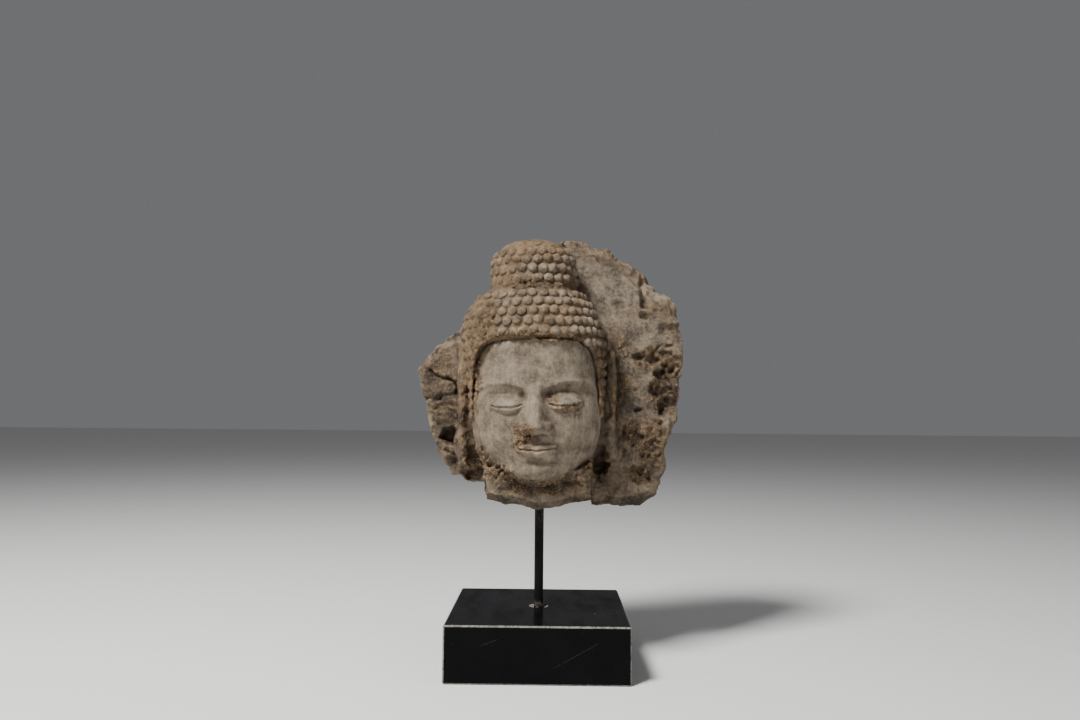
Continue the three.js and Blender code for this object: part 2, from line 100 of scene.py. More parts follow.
class StoneFinish(bpy.types.PropertyGroup):
    grey: colour_setting("Grey", "Bare limestone", (0.208, 0.166, 0.118))
    # Rubbed high places, also painted highlight on ridges and curl tops.
    pale: colour_setting("Pale", "Rubbed high places", (0.318, 0.262, 0.193))
    ochre: colour_setting("Ochre", "Earth in hollows and on breaks", (0.185, 0.122, 0.067))
    crust: colour_setting("Crust", "Brown burial crust", (0.088, 0.054, 0.030))
    # Nearly black: dark earth and painted shade at the bottom of the deepest pits.
    pit_dirt_and_shade: colour_setting("Pit", "Bottom of the deepest pits", (0.036, 0.020, 0.011))
    roughness: share_setting("Roughness", "Roughness of bare stone", 0.78)


class StandFinish(bpy.types.PropertyGroup):
    black: colour_setting("Black stone", "Polished faces of the plinth", (0.0025, 0.0025, 0.0027))
    ground: colour_setting("Ground edge", "Unpolished chamfers of the plinth", (0.26, 0.24, 0.215))
    steel: colour_setting("Steel", "Blackened rod", (0.007, 0.0068, 0.0066))
    polish: share_setting("Polish", "Roughness of the polished faces", 0.2)


def smooth(value, low, high):
    share = np.clip((value - low) / (high - low), 0, 1)
    return share * share * (3 - 2 * share)


def hump(distance, width):
    return np.exp(-((distance / width) ** 2))


def within(value, low, high, blend):
    return smooth(value, low - blend, low + blend) * (1 - smooth(value, high - blend, high + blend))


def lerp(low, high, share):
    return low + (high - low) * share


def soft_union(first, second, blend):
    share = np.clip(0.5 + 0.5 * (second - first) / blend, 0, 1)
    return second + (first - second) * share - blend * share * (1 - share)


def noise(shape, cell, seed):
    """Smooth noise from -1 to 1 on a regular grid, with cells of the given number of steps."""
    sizes = [int(count / cell) + 3 for count in shape]
    values = np.random.default_rng(seed).uniform(-1, 1, sizes).astype(np.float32)
    for axis, count in enumerate(shape):
        place = np.arange(count) / cell
        base = place.astype(int)
        share = (place - base).astype(np.float32)
        share = share * share * (3 - 2 * share)
        share = share.reshape([-1 if side == axis else 1 for side in range(len(shape))])
        low = np.take(values, base, axis)
        high = np.take(values, base + 1, axis)
        values = low + (high - low) * share
    return values


def flakes(shape, cell, seed):
    """Height of a chipped surface on a flat grid: each patch is a plane with a tilt of its own."""
    draw = np.random.default_rng(seed)
    counts = [int(count / cell) + 3 for count in shape]
    corners = np.meshgrid(*(np.arange(count) for count in counts), indexing="ij")
    middles = draw.uniform(0.1, 0.9, (*counts, 2)) + np.stack(corners, -1)
    tilts = draw.uniform(-1, 1, (*counts, 2))
    lifts = draw.uniform(-0.5, 0.5, counts)
    across, up = np.meshgrid(*(np.arange(count) / cell + 1 for count in shape), indexing="ij")
    across = across + 0.35 * noise(shape, cell * 0.7, seed + 1)
    up = up + 0.35 * noise(shape, cell * 0.7, seed + 2)
    column = np.clip(across.astype(int), 1, counts[0] - 2)
    row = np.clip(up.astype(int), 1, counts[1] - 2)
    best = np.full(shape, 1e9)
    height = np.zeros(shape)
    for side in (-1, 0, 1):
        for level in (-1, 0, 1):
            middle = middles[column + side, row + level]
            tilt = tilts[column + side, row + level]
            gap_x = across - middle[..., 0]
            gap_z = up - middle[..., 1]
            distance = gap_x ** 2 + gap_z ** 2
            here = lifts[column + side, row + level] + gap_x * tilt[..., 0] + gap_z * tilt[..., 1]
            height = np.where(distance < best, here, height)
            best = np.minimum(distance, best)
    return height


def blur(values, radius):
    """Mean of each grid point's neighbours within a box."""
    for axis in range(values.ndim):
        count = values.shape[axis]
        places = np.arange(count)
        total = sum(np.take(values, np.clip(places + shift, 0, count - 1), axis)
                    for shift in range(-radius, radius + 1))
        values = total / (2 * radius + 1)
    return values


# The carved forms, in face heights: x across, y back, h up from the chin

CHIN_RISE = 0.237
TOPKNOT_CENTRE = 1.49
NECK_FRONT = -0.32
NECK_HALF_WIDTH = 0.373
SLAB_FRONT = 0.07
SLAB_DEPTH = 0.356
BACK_CUT = 0.03 + SLAB_DEPTH
HAIR_RAISE = 0.029
EYE_HEIGHT = 0.56
EYE_OUT = 0.205
EYE_HALF_WIDTH = 0.145
SLIT_HALF_WIDTH = 0.12
BROW_HEIGHT = 0.648
BROW_ARCH = 0.05
WING_OUT = 0.072
WING_HEIGHT = 0.374
MOUTH_HEIGHT = 0.222
MOUTH_HALF_WIDTH = 0.158
NOSE_BASE = 0.335
HAIRLINE_HALF_WIDTH = 0.462
SIDE_HAIR_END = 0.44


def ellipsoid(x, y, z, radii):
    reach = np.sqrt((x / radii[0]) ** 2 + (y / radii[1]) ** 2 + (z / radii[2]) ** 2)
    slope = np.sqrt((x / radii[0] ** 2) ** 2 + (y / radii[1] ** 2) ** 2 + (z / radii[2] ** 2) ** 2)
    return reach * (reach - 1) / np.maximum(slope, 1e-6)


def square_dome(x, y, z, radii, power):
    total = (np.abs(x / radii[0]) ** power + np.abs(y / radii[1]) ** power
             + np.abs(z / radii[2]) ** power)
    return (total ** (1 / power) - 1) * min(radii)


def neck(x, y, h):
    """The stub of the neck: a squared block with bevelled arrises that runs up under the jaw."""
    sides = np.abs(x) - NECK_HALF_WIDTH
    front = NECK_FRONT - y
    arris = (sides + front) * 0.7071 + 0.022
    top = h + 0.005 - 0.42 * np.maximum(0, np.abs(x) - 0.12)
    return np.maximum(np.maximum(np.maximum(sides, front), arris), top)


def skin(x, y, h):
    skull = ellipsoid(x, y - 0.03, h - 0.9, (0.49, 0.54, 0.62))
    cheeks = square_dome(x, y + 0.06, h - 0.46, (0.475, 0.465, 0.5), 2.35)
    chin = ellipsoid(x, y + 0.35, h - 0.1, (0.2, 0.16, 0.12))
    topknot = square_dome(x, y - 0.03, h - TOPKNOT_CENTRE, (0.285, 0.3, 0.275), 2.6)
    form = soft_union(skull, cheeks, 0.08)
    form = soft_union(form, chin, 0.1)
    form = soft_union(form, topknot, 0.035)
    return soft_union(form, neck(x, y, h), 0.03)


# The face is a calm one on the canon's thirds: chin 0, base of the nose 1/3, brow 2/3, hairline 1.

def brow_and_eye(side, h):
    arch = BROW_HEIGHT + BROW_ARCH * np.sin(math.pi * np.clip((side - 0.06) / 0.42, 0, 1))
    crest = 0.01 * hump(h - arch, 0.018) * within(side, 0.07, 0.42, 0.03)
    socket = 0.05 * hump(side - 0.2, 0.15) * hump(h - 0.6, 0.07)
    inner = 0.03 * hump(side - 0.095, 0.035) * hump(h - 0.58, 0.055)
    across = (side - EYE_OUT) / EYE_HALF_WIDTH
    slit_height = EYE_HEIGHT - 0.012 - 0.016 * (1 - ((side - EYE_OUT) / SLIT_HALF_WIDTH) ** 2)
    above = np.clip(h - slit_height, 0, 1)
    below = np.clip(slit_height - h, 0, 1)
    ball = np.clip(1 - across ** 2 - (above / 0.095) ** 2 - (below / 0.062) ** 2, 0, 1)
    lid = 0.062 * ball ** lerp(1.15, 1.7, smooth(below, 0.015, 0.04))
    gap = 0.03 * np.sqrt(np.clip(1 - ((side - EYE_OUT) / (SLIT_HALF_WIDTH + 0.002)) ** 2, 0, 1))
    opening = 0.017 * smooth(below, 0, 0.006) * (1 - smooth(below, gap - 0.008, gap))
    opening = opening * smooth(gap, 0, 0.012)
    fold = 0.006 * hump(above - 0.066 + 0.02 * across ** 2, 0.009) * within(side, 0.1, 0.32, 0.03)
    return crest - socket - inner + lid - opening - fold


def nose(side, h):
    rise = np.clip((0.68 - h) / (0.68 - NOSE_BASE), 0, 1)
    bridge = lerp(0.035, 0.135, rise ** 1.25)
    half_width = lerp(0.044, 0.07, rise)
    under = smooth(h, NOSE_BASE - 0.016, NOSE_BASE + 0.05) ** 0.8
    root = 1 - smooth(h, 0.6, 0.74)
    ridge = bridge * np.exp(-((side / half_width) ** 2.6)) * under * root
    reach = np.clip(1 - ((side - WING_OUT) / 0.052) ** 2 - ((h - WING_HEIGHT) / 0.05) ** 2, 0, 1)
    wing = 0.056 * reach ** 0.6
    nostril = 0.02 * hump(side - 0.05, 0.02) * hump(h - NOSE_BASE + 0.002, 0.012)
    return np.maximum(ridge, wing) + 0.25 * np.minimum(ridge, wing) - nostril


def mouth(side, h):
    muzzle = 0.028 * hump(side, 0.19) * hump(h - 0.225, 0.1)
    corner = np.clip(1 - (side / MOUTH_HALF_WIDTH) ** 2, 0, 1)
    line = MOUTH_HEIGHT + 0.014 * (side / MOUTH_HALF_WIDTH) ** 2 - 0.006 * hump(side, 0.03)
    bow = 0.047 * corner ** 0.7 * (1 - 0.22 * hump(side, 0.022))
    bowl = 0.056 * corner ** 0.8
    upper = np.clip((h - line) / np.maximum(bow, 0.004), 0, 1)
    lower = np.clip((line - h) / np.maximum(bowl, 0.004), 0, 1)
    fullness = np.where(h > line, (1 - upper ** 2) ** 0.6, (1 - lower ** 2) ** 0.6)
    lips = 0.034 * np.sqrt(corner) * fullness
    parting = 0.018 * hump(h - line, 0.008) * smooth(corner, 0, 0.2)
    dimple = 0.012 * hump(side - (MOUTH_HALF_WIDTH + 0.01), 0.02) * hump(h - MOUTH_HEIGHT - 0.012, 0.02)
    philtrum = 0.01 * hump(side, 0.018) * within(h, 0.275, 0.32, 0.01)
    under_lip = 0.022 * hump(side, 0.1) * hump(h - 0.135, 0.028)
    return muzzle + lips - parting - dimple - philtrum - under_lip


def face_carving(x, h):
    side = np.abs(x)
    cheek = 0.014 * hump(side - 0.26, 0.11) * hump(h - 0.4, 0.12)
    chin_ball = 0.014 * hump(side, 0.085) * hump(h - 0.065, 0.045)
    return brow_and_eye(side, h) + nose(side, h) + mouth(side, h) + cheek + chin_ball


def hair_distance(x, h):
    return ((np.abs(x) / HAIRLINE_HALF_WIDTH) ** 6 + np.maximum(h, 0) ** 6) ** (1 / 6) - 1


def hair_share(x, h):
    return smooth(hair_distance(x, h), 0, 0.018) * smooth(h, SIDE_HAIR_END - 0.02, SIDE_HAIR_END + 0.02)


def hair_raise(x, h):
    crusted = 0.065 * hump(h - 1.18, 0.25) * smooth(-x, 0.26, 0.42)
    seam = 0.02 * hump(hair_distance(x, h) - 0.008, 0.011) * smooth(h, 0.82, 0.97)
    raised = HAIR_RAISE * lerp(0.4, 1, smooth(h, SIDE_HAIR_END, 0.8))
    return hair_share(x, h) * (raised + crusted) - seam


def head_surface(x, y, h):
    carved = face_carving(x, h) * (1 - hair_share(x, h))
    form = skin(x, y, h) - carved * smooth(-y, 0.12, 0.3) - hair_raise(x, h)
    return np.maximum(form, y - BACK_CUT)


EAR_END = 0.105
EAR_TOP = 0.95
EAR_OUT = 0.558


def ear(x, y, h, direction):
    """A long worn ear: a strip with a groove down it, and a lobe that swells at its end."""
    share = np.clip((h - EAR_END) / (EAR_TOP - EAR_END), 0, 1)
    lobe = hump(share - 0.12, 0.15)
    middle = direction * (EAR_OUT + direction * lerp(-0.018, 0.016, share))
    across = 0.043 + 0.014 * lobe - 0.006 * hump(share - 0.4, 0.15)
    front = 0.118 + 0.02 * share + 0.022 * lobe
    height = np.abs(h - (EAR_END + EAR_TOP) / 2) / ((EAR_TOP - EAR_END) / 2)
    reach = np.sqrt(((x - middle) / across) ** 2 + ((y - SLAB_FRONT) / front) ** 2 + height ** 8)
    groove = 0.003 * hump(x - middle, 0.014) * smooth(share, 0.28, 0.42)
    return (reach - 1) * 0.045 + groove * (1 - smooth(share, 0.85, 0.95))


# The broken slab, in face heights from the rod's entry: x across, z up

SLAB_OUTLINE = (
    (0.1, 2.0), (0.2, 2.075), (0.44, 2.025), (0.733, 1.882), (0.882, 1.697), (1.01, 1.59),
    (1.077, 1.27), (1.065, 0.93), (1.008, 0.63), (0.935, 0.43), (0.945, 0.3), (0.87, 0.1),
    (0.78, 0.02), (0.27, 0.04), (-0.28, 0.07), (-0.4, 0.12), (-0.42, 0.19), (-0.55, 0.195),
    (-0.645, 0.25), (-0.742, 0.32), (-0.785, 0.47), (-0.88, 0.8), (-0.94, 1.04), (-0.87, 1.15),
    (-0.6, 1.36), (-0.38, 1.48), (-0.17, 1.82),
)

# Places where the front has come away: centre, half width, half height, depth, how wide the
# rim's slope is as a share, and how rough the floor of the break is
BREAKS = (
    (0.60, 1.57, 0.055, 0.035, 0.012, 0.5, 0.3),
    (0.90, 1.50, 0.05, 0.03, 0.025, 0.50, 0.5),
    (0.78, 1.47, 0.04, 0.03, 0.030, 0.6, 0.4),
    (0.98, 1.35, 0.12, 0.10, 0.045, 0.7, 0.25),
    (0.92, 1.14, 0.21, 0.11, 0.020, 0.4, 1.6),
    (0.98, 0.90, 0.15, 0.19, 0.085, 0.3, 1.6),
    (0.99, 0.82, 0.07, 0.09, 0.060, 0.4, 1.2),
    (0.75, 0.91, 0.03, 0.02, 0.020, 0.6, 0.6),
    (0.74, 0.735, 0.045, 0.018, 0.035, 0.6, 0.5),
    (0.69, 0.62, 0.085, 0.06, 0.022, 0.35, 1.4),
    (0.71, 0.53, 0.085, 0.075, 0.034, 0.35, 1.4),
    (0.63, 0.42, 0.022, 0.04, 0.018, 0.6, 0.5),
    (0.88, 0.60, 0.12, 0.12, 0.016, 0.5, 1.3),
    (0.86, 0.42, 0.11, 0.13, 0.022, 0.4, 1.2),
    (0.77, 0.27, 0.09, 0.11, 0.024, 0.35, 1.4),
    (0.88, 0.24, 0.09, 0.10, 0.030, 0.5, 0.5),
    (0.45, 0.33, 0.075, 0.12, 0.105, 0.5, 0.8),
    (-0.80, 1.12, 0.16, 0.13, 0.018, 0.6, 0.5),
    (-0.67, 1.25, 0.10, 0.09, 0.026, 0.5, 0.15),
    (-0.77, 0.90, 0.03, 0.02, 0.012, 0.7, 0.2),
    (-0.63, 0.87, 0.035, 0.05, 0.040, 0.6, 0.6),
    (-0.73, 0.70, 0.16, 0.13, 0.022, 0.4, 0.5),
    (-0.69, 0.53, 0.085, 0.065, 0.120, 0.35, 0.9),
    (-0.68, 0.32, 0.11, 0.08, 0.034, 0.5, 1.0),
    (-0.49, 0.25, 0.10, 0.07, 0.120, 0.5, 0.4),
    (-0.44, 0.72, 0.05, 0.30, 0.020, 0.8, 0.6),
)

# Cracks: both ends, half width and depth
CRACKS = (
    (-0.84, 1.03, -0.61, 0.90, 0.014, 0.050),
    (-0.88, 0.81, -0.78, 0.83, 0.013, 0.035),
    (-0.78, 0.83, -0.64, 0.85, 0.008, 0.018),
    (-0.72, 0.42, -0.60, 0.365, 0.010, 0.030),
    (0.80, 0.36, 0.93, 0.52, 0.010, 0.022),
    (0.74, 0.30, 0.86, 0.20, 0.010, 0.018),
)

# Patches of crust: centre, half width, half height and strength
CRUST = (
    (-0.45, 0.37, 0.12, 0.10, 1.0), (-0.33, 0.285, 0.14, 0.05, 1.0), (0.37, 0.32, 0.06, 0.07, 1.0),
    (-0.02, 0.225, 0.30, 0.03, 0.8), (0.26, 0.27, 0.12, 0.035, 0.7), (-0.11, 0.55, 0.08, 0.095, 1.0),
    (0.0, 1.252, 0.40, 0.028, 1.0), (-0.47, 0.98, 0.04, 0.27, 0.8), (0.475, 1.0, 0.03, 0.24, 0.6),
    (-0.31, 0.135, 0.12, 0.02, 0.6), (0.33, 0.11, 0.1, 0.02, 0.5),
    (-0.07, 0.45, 0.04, 0.02, 0.4), (0.19, 0.76, 0.09, 0.022, 0.8), (0.27, 0.715, 0.035, 0.04, 0.7),
    (0.10, 0.83, 0.035, 0.04, 0.8), (0.09, 1.235, 0.045, 0.014, 0.9), (-0.39, 1.33, 0.07, 0.14, 0.5),
    (0.96, 0.90, 0.15, 0.18, 0.9), (0.90, 1.13, 0.17, 0.08, 0.5), (0.70, 0.57, 0.10, 0.11, 0.8),
    (0.77, 0.27, 0.09, 0.10, 0.75), (0.625, 1.24, 0.045, 0.09, 0.75), (0.645, 0.93, 0.035, 0.08, 0.5),
    (-0.63, 0.88, 0.04, 0.08, 0.6), (-0.69, 0.53, 0.08, 0.06, 0.8), (-0.70, 0.68, 0.13, 0.09, 0.25),
    (-0.67, 0.30, 0.09, 0.06, 0.5), (0.45, 0.30, 0.07, 0.10, 0.5), (-0.49, 0.24, 0.09, 0.06, 0.7),
    (-0.78, 1.08, 0.15, 0.12, 0.45), (-0.68, 0.72, 0.24, 0.34, 0.3), (-0.03, 1.645, 0.24, 0.03, 0.8),
    (-0.55, 1.0, 0.05, 0.2, 0.15), (0.98, 1.36, 0.10, 0.08, 0.35),
    (0.86, 0.50, 0.14, 0.2, 0.7), (0.03, 0.20, 0.34, 0.055, 0.7), (0.58, 0.86, 0.05, 0.22, 0.45),
)

# Patches of ochre earth: centre, half width, half height and strength
EARTH = (
    (-0.08, 1.645, 0.27, 0.05, 1.0), (-0.45, 1.37, 0.12, 0.26, 0.9), (-0.04, 1.265, 0.42, 0.035, 0.9),
    (0.565, 0.99, 0.045, 0.44, 0.7), (0.45, 0.98, 0.03, 0.25, 0.5), (-0.53, 1.10, 0.05, 0.22, 0.8),
    (-0.80, 1.12, 0.16, 0.10, 0.8), (-0.72, 0.70, 0.15, 0.12, 0.7), (0.89, 1.13, 0.2, 0.1, 0.8),
    (0.86, 0.48, 0.12, 0.2, 0.7), (0.45, 2.0, 0.35, 0.1, 0.7), (0.86, 1.78, 0.16, 0.12, 0.6),
    (0.92, 1.56, 0.15, 0.11, 0.9), (-0.07, 1.93, 0.22, 0.1, 0.6), (0.3, 1.6, 0.06, 0.12, 0.5),
    (0.66, 1.5, 0.1, 0.04, 0.5), (-0.66, 0.34, 0.1, 0.1, 0.6), (0.5, 0.12, 0.35, 0.05, 0.4),
    (-0.68, 0.8, 0.3, 0.55, 0.45), (0.74, 0.35, 0.3, 0.35, 0.2), (-0.555, 0.75, 0.05, 0.5, 0.8),
    (0.0, 1.42, 0.3, 0.1, 0.6), (0.03, 0.19, 0.34, 0.06, 0.8), (0.645, 0.93, 0.045, 0.12, 0.9),
    (0.46, 0.31, 0.09, 0.13, 1.0),
)

# Patches that darken the stone, partly dark burial grime and partly painted shade (under the chin,
# beside the head): centre, half width, half height and strength
GRIME_AND_SHADE = (
    (-0.76, 0.72, 0.26, 0.60, 1.0), (0.03, 0.20, 0.34, 0.065, 1.0), (0.70, 0.95, 0.14, 0.35, 0.75),
    (0.0, 1.84, 0.3, 0.1, 0.3),
)


def sheet(values):
    """A flat map of the front as a sheet that a volume can be reckoned with."""
    return values.astype(np.float32)[:, None, :]


def outline_distance(x, z):
    """Distance to the slab's outline, negative inside it."""
    nearest = np.full(x.shape, 1e9)
    inside = np.zeros(x.shape, bool)
    for (ax, az), (bx, bz) in zip(SLAB_OUTLINE, SLAB_OUTLINE[1:] + SLAB_OUTLINE[:1]):
        nearest = np.minimum(nearest, segment_distance(x, z, ax, az, bx, bz))
        if az != bz:
            crosses = (az > z) != (bz > z)
            inside ^= crosses & (x < ax + (z - az) / (bz - az) * (bx - ax))
    return np.where(inside, -nearest, nearest)


def segment_distance(x, z, ax, az, bx, bz):
    along_x, along_z = bx - ax, bz - az
    share = np.clip(((x - ax) * along_x + (z - az) * along_z) / (along_x ** 2 + along_z ** 2), 0, 1)
    return np.hypot(x - ax - share * along_x, z - az - share * along_z)


def patches(x, z, places, blend):
    """The strongest of several oval patches at each point, 0 to 1."""
    total = np.zeros(x.shape)
    for middle_x, middle_z, half_width, half_height, strength in places:
        reach = np.hypot((x - middle_x) / half_width, (z - middle_z) / half_height)
        total = np.maximum(total, strength * (1 - smooth(reach, 1 - blend, 1 + blend)))
    return total


def largest_part(points, faces):
    """The points and faces of the largest connected part, so that no crumb or bubble is left."""
    labels = np.arange(len(points))
    while True:
        lowest = labels[faces].min(1)
        lowered = labels.copy()
        for column in faces.T:
            np.minimum.at(lowered, column, lowest)
        lowered = lowered[lowered]
        if np.array_equal(lowered, labels):
            break
        labels = lowered
    kept = labels == np.bincount(labels).argmax()
    numbers = np.cumsum(kept) - 1
    return points[kept], numbers[faces[kept[faces[:, 0]]]]


# Room that the grid leaves round the CAD stone, and cells of the noises that roughen it. These
# and all lengths below are in face heights.
GRID_MARGIN = 0.03
FINE_CELLS = (0.021, 0.0287)
MIDDLING_CELL = 0.062
LARGE_CELL = 0.19

# Relief of each kind of surface: shares of the middling and of the fine noise
BREAK_RELIEF = (0.007, 0.0065)
SIDE_RELIEF = (0.012, 0.006)
EAR_RELIEF = (0.012, 0.004)
UNDERSIDE_RELIEF = (0.007, 0.003)
BARE_RELIEF = (0.0010, 0.0006)

# What lies on the stone: thickness, shares of the fine and of the middling noise
CRUST_COVER = (0.008, 0.018, 0.005)
EARTH_COVER = (0.001, 0.0035, 0.0015)

# The slab's flaked sides, and how softly slab and ears run into the head
SLAB_MIDDLE = (0.1, 1.0)
SIDE_BLEND = (-0.07, -0.015)
SIDE_LIFT = 0.015
FLAKE_CELL = 0.2
FLAKE_DEPTH = 0.035
SLAB_FILLET = 0.012
EAR_FILLET = 0.028

# The bevel along the top right, the ledge in it, the broken edge under the neck and the height of the
# painted shade along it, small pits, and the room over the rod in its socket
TOP_BEVEL_WIDTH = 0.115
TOP_BEVEL_STEP = 0.022
LEDGE_DEPTH = 0.05
NECK_SHADE_BAND_HEIGHT = 0.062
NECK_BAND_REACH = 0.085
UNDERSIDE_HALF_WIDTH = 0.4
SOCKET_ROOM = 0.003
PIT_COUNT = 34


class StoneGrid:
    """The stone as a field on a regular grid, negative inside, and maps of what lies on it."""

    def __init__(self, settings):
        self.face = settings.face_height
        self.base = settings.stone_base
        self.step = settings.voxel / self.face
        self.low = (STONE_LOW - (0, 0, self.base)) / self.face - GRID_MARGIN
        high = (STONE_HIGH - (0, 0, self.base)) / self.face + GRID_MARGIN
        self.shape = tuple(int(count) for count in np.ceil((high - self.low) / self.step))
        axes = [self.low[i] + self.step * np.arange(self.shape[i]) for i in range(3)]
        self.axes = [axis.astype(np.float32) for axis in axes]
        self.x, self.z = np.meshgrid(self.axes[0], self.axes[2], indexing="ij")
        lean = settings.head_lean
        self.head_x = self.x * math.cos(lean) + self.z * math.sin(lean)
        self.head_h = -self.x * math.sin(lean) + self.z * math.cos(lean) - CHIN_RISE
        self.seed = settings.seed

    def flat_noise(self, size, seed):
        """Noise on the front's grid, with cells of a size in face heights."""
        return noise(self.x.shape, size / self.step, self.seed + seed)

    def draw_maps(self):
        """Where the front is broken, crusted or earthy, and how deep its surface lies."""
        wander_x = self.x + 0.022 * self.flat_noise(0.09, 1) + 0.010 * self.flat_noise(0.03, 2)
        wander_z = self.z + 0.022 * self.flat_noise(0.09, 3) + 0.010 * self.flat_noise(0.03, 4)
        chips = flakes(self.x.shape, 0.085 / self.step, self.seed + 5)
        small_chips = flakes(self.x.shape, 0.035 / self.step, self.seed + 6)
        pits = smooth(self.flat_noise(0.034, 7) + 0.5 * self.flat_noise(0.017, 8), 0.0, 0.55)
        self.outline = outline_distance(self.x, self.z)
        inward = -self.outline + 0.03 * self.flat_noise(0.12, 9)
        depth = SLAB_FRONT + 0.007 * self.flat_noise(0.35, 10) + 0.006 * self.flat_noise(0.09, 11)
        depth = depth + 0.0028 * self.flat_noise(0.03, 14) * (1 - 0.5 * smooth(self.z, 1.4, 1.6))
        rough = np.zeros(self.x.shape)
        ragged = 0.20 * self.flat_noise(0.06, 15) + 0.20 * self.flat_noise(0.024, 16)
        ragged = ragged + 0.1 * small_chips
        for middle_x, middle_z, half_width, half_height, deep, rim, coarse in BREAKS:
            reach = np.hypot((wander_x - middle_x) / half_width, (wander_z - middle_z) / half_height)
            share = smooth(1 - reach - ragged * min(1, coarse), 0, rim)
            depth = depth + deep * share * (1 - 0.2 * pits)
            rough = np.maximum(rough, coarse * share)
        for ax, az, bx, bz, half_width, deep in CRACKS:
            gap = segment_distance(wander_x, wander_z, ax, az, bx, bz)
            depth = depth + deep * (1 - smooth(gap, 0, half_width * 1.6))
        top = smooth(self.z, 1.35, 1.6) * smooth(self.x, -0.08, 0.1)
        left = smooth(-self.x, 0.45, 0.6)
        facets = flakes(self.x.shape, 0.13 / self.step, self.seed + 17)
        worn_rim = 1 - smooth(inward, 0, 0.035 + 0.02 * left)
        bevel = np.clip(1 - (inward + 0.02 * facets) / TOP_BEVEL_WIDTH, 0, 1)
        rim = lerp(worn_rim, bevel, top)
        depth = depth + (0.028 + 0.085 * top + 0.02 * left) * rim
        depth = depth + 0.03 * facets * top * smooth(rim, 0, 0.3)
        ledge = smooth(wander_x, 0.756, 0.772) * smooth(wander_z, 1.495, 1.515)
        ledge = ledge * (1 - smooth(self.x, 0.84, 1.0))
        band = top * smooth(rim, 0, 0.08)
        depth = depth + LEDGE_DEPTH * ledge + TOP_BEVEL_STEP * band
        rough = np.maximum(rough, 0.75 * ledge)
        ripples = within(self.z, 0.58, 0.86, 0.05) * smooth(-self.x, 0.55, 0.65)
        depth = depth + 0.006 * ripples * np.sin(120 * wander_z + 14 * wander_x)
        rough = np.maximum(rough, (0.8 - 0.45 * left) * rim)
        rough = np.maximum(rough, 0.1 * left)
        depth = depth + 0.1 * np.maximum(0, -self.x - 0.5)
        chamfer_top = 0.09 + 0.04 * smooth(self.x, 0.5, 0.78) + 0.014 * self.flat_noise(0.1, 12)
        chamfer = np.maximum(0, chamfer_top - self.z) * smooth(self.x, 0.2, 0.4)
        depth = depth + 1.05 * chamfer
        rough = np.maximum(rough, 0.3 * smooth(chamfer, 0, 0.02))
        depth = depth + rough * (0.020 * chips + 0.013 * small_chips + 0.012 * pits)
        draw = np.random.default_rng(self.seed + 13)
        for middle_x, middle_z in draw.uniform((0.5, 0.1), (1.05, 1.9), (PIT_COUNT, 2)):
            radius = draw.uniform(0.004, 0.011)
            reach = np.hypot(wander_x - middle_x, (wander_z - middle_z) * 1.3) / radius
            depth = depth + radius * 0.9 * np.sqrt(np.clip(1 - reach ** 2, 0, 1))
        strokes = np.abs(np.sin(34 * (0.8 * wander_x + 0.6 * wander_z) + 3 * self.flat_noise(0.5, 18)))
        dressing = flakes(self.x.shape, 0.27 / self.step, self.seed + 19)
        self.back = SLAB_FRONT + SLAB_DEPTH - 0.03 + 0.035 * blur(dressing, 2)
        self.back = self.back + 0.006 * strokes + 0.008 * chips
        side = np.abs(self.head_x)
        web = smooth(side, 0.3, 0.4) * (1 - smooth(side, 0.555, 0.6))
        web = web * within(self.head_h, 0.2, 1.02, 0.07)
        self.front = blur(lerp(depth, -0.02, web), 1)
        self.rough = np.clip(rough, 0, 1) * (1 - web)
        self.crust = patches(wander_x, wander_z, CRUST, 0.3)
        self.earth = np.maximum(patches(wander_x, wander_z, EARTH, 0.45), 0.6 * self.rough)
        self.earth = np.maximum(self.earth, 0.9 * band)
        self.lowest = 0.018 + np.where(self.x < -0.03, 0.24, 0.17) * np.abs(self.x + 0.03)
        self.lowest = self.lowest + 0.012 * self.flat_noise(0.12, 24)
        # The broken band under the neck and the slab's bottom chamfer face down: they get painted
        # shade.
        neck_band_shade = smooth(self.lowest + NECK_SHADE_BAND_HEIGHT - self.z, -0.004, 0.008)
        neck_band_shade = neck_band_shade * (np.abs(self.x) < UNDERSIDE_HALF_WIDTH)
        shaded_underside = np.maximum(1.15 * neck_band_shade, 1.25 * smooth(chamfer, 0.002, 0.014))
        # Darkening: dark grime on the left slab, and painted shade under the chin, beside the head and
        # along the undersides.
        self.grime_and_shade = np.maximum(patches(wander_x, wander_z, GRIME_AND_SHADE, 0.45), shaded_underside)
        self.hair = hair_share(self.head_x, self.head_h)

    def carve(self):
        """Works out the field: head, slab, ears, the neck's underside, relief and the rod's socket."""
        self.draw_maps()
        y = self.axes[1][None, :, None]
        x = self.head_x[:, None, :]
        h = self.head_h[:, None, :]
        carved = face_carving(self.head_x, self.head_h) * (1 - self.hair)
        facing = smooth(-y, 0.12, 0.3).astype(np.float32)
        head = skin(x, y, h) - sheet(carved) * facing
        head -= sheet(hair_raise(self.head_x, self.head_h))
        back = y - sheet(self.back)
        head = np.maximum(head, back + np.float32(0.02))
        fine = 0.75 * noise(self.shape, FINE_CELLS[0] / self.step, self.seed + 21)
        fine += 0.65 * noise(self.shape, FINE_CELLS[1] / self.step, self.seed + 28)
        middling = noise(self.shape, MIDDLING_CELL / self.step, self.seed + 22)
        large = noise(self.shape, LARGE_CELL / self.step, self.seed + 23)

        def relief(shares, under=0):
            return under + shares[0] * middling + shares[1] * fine

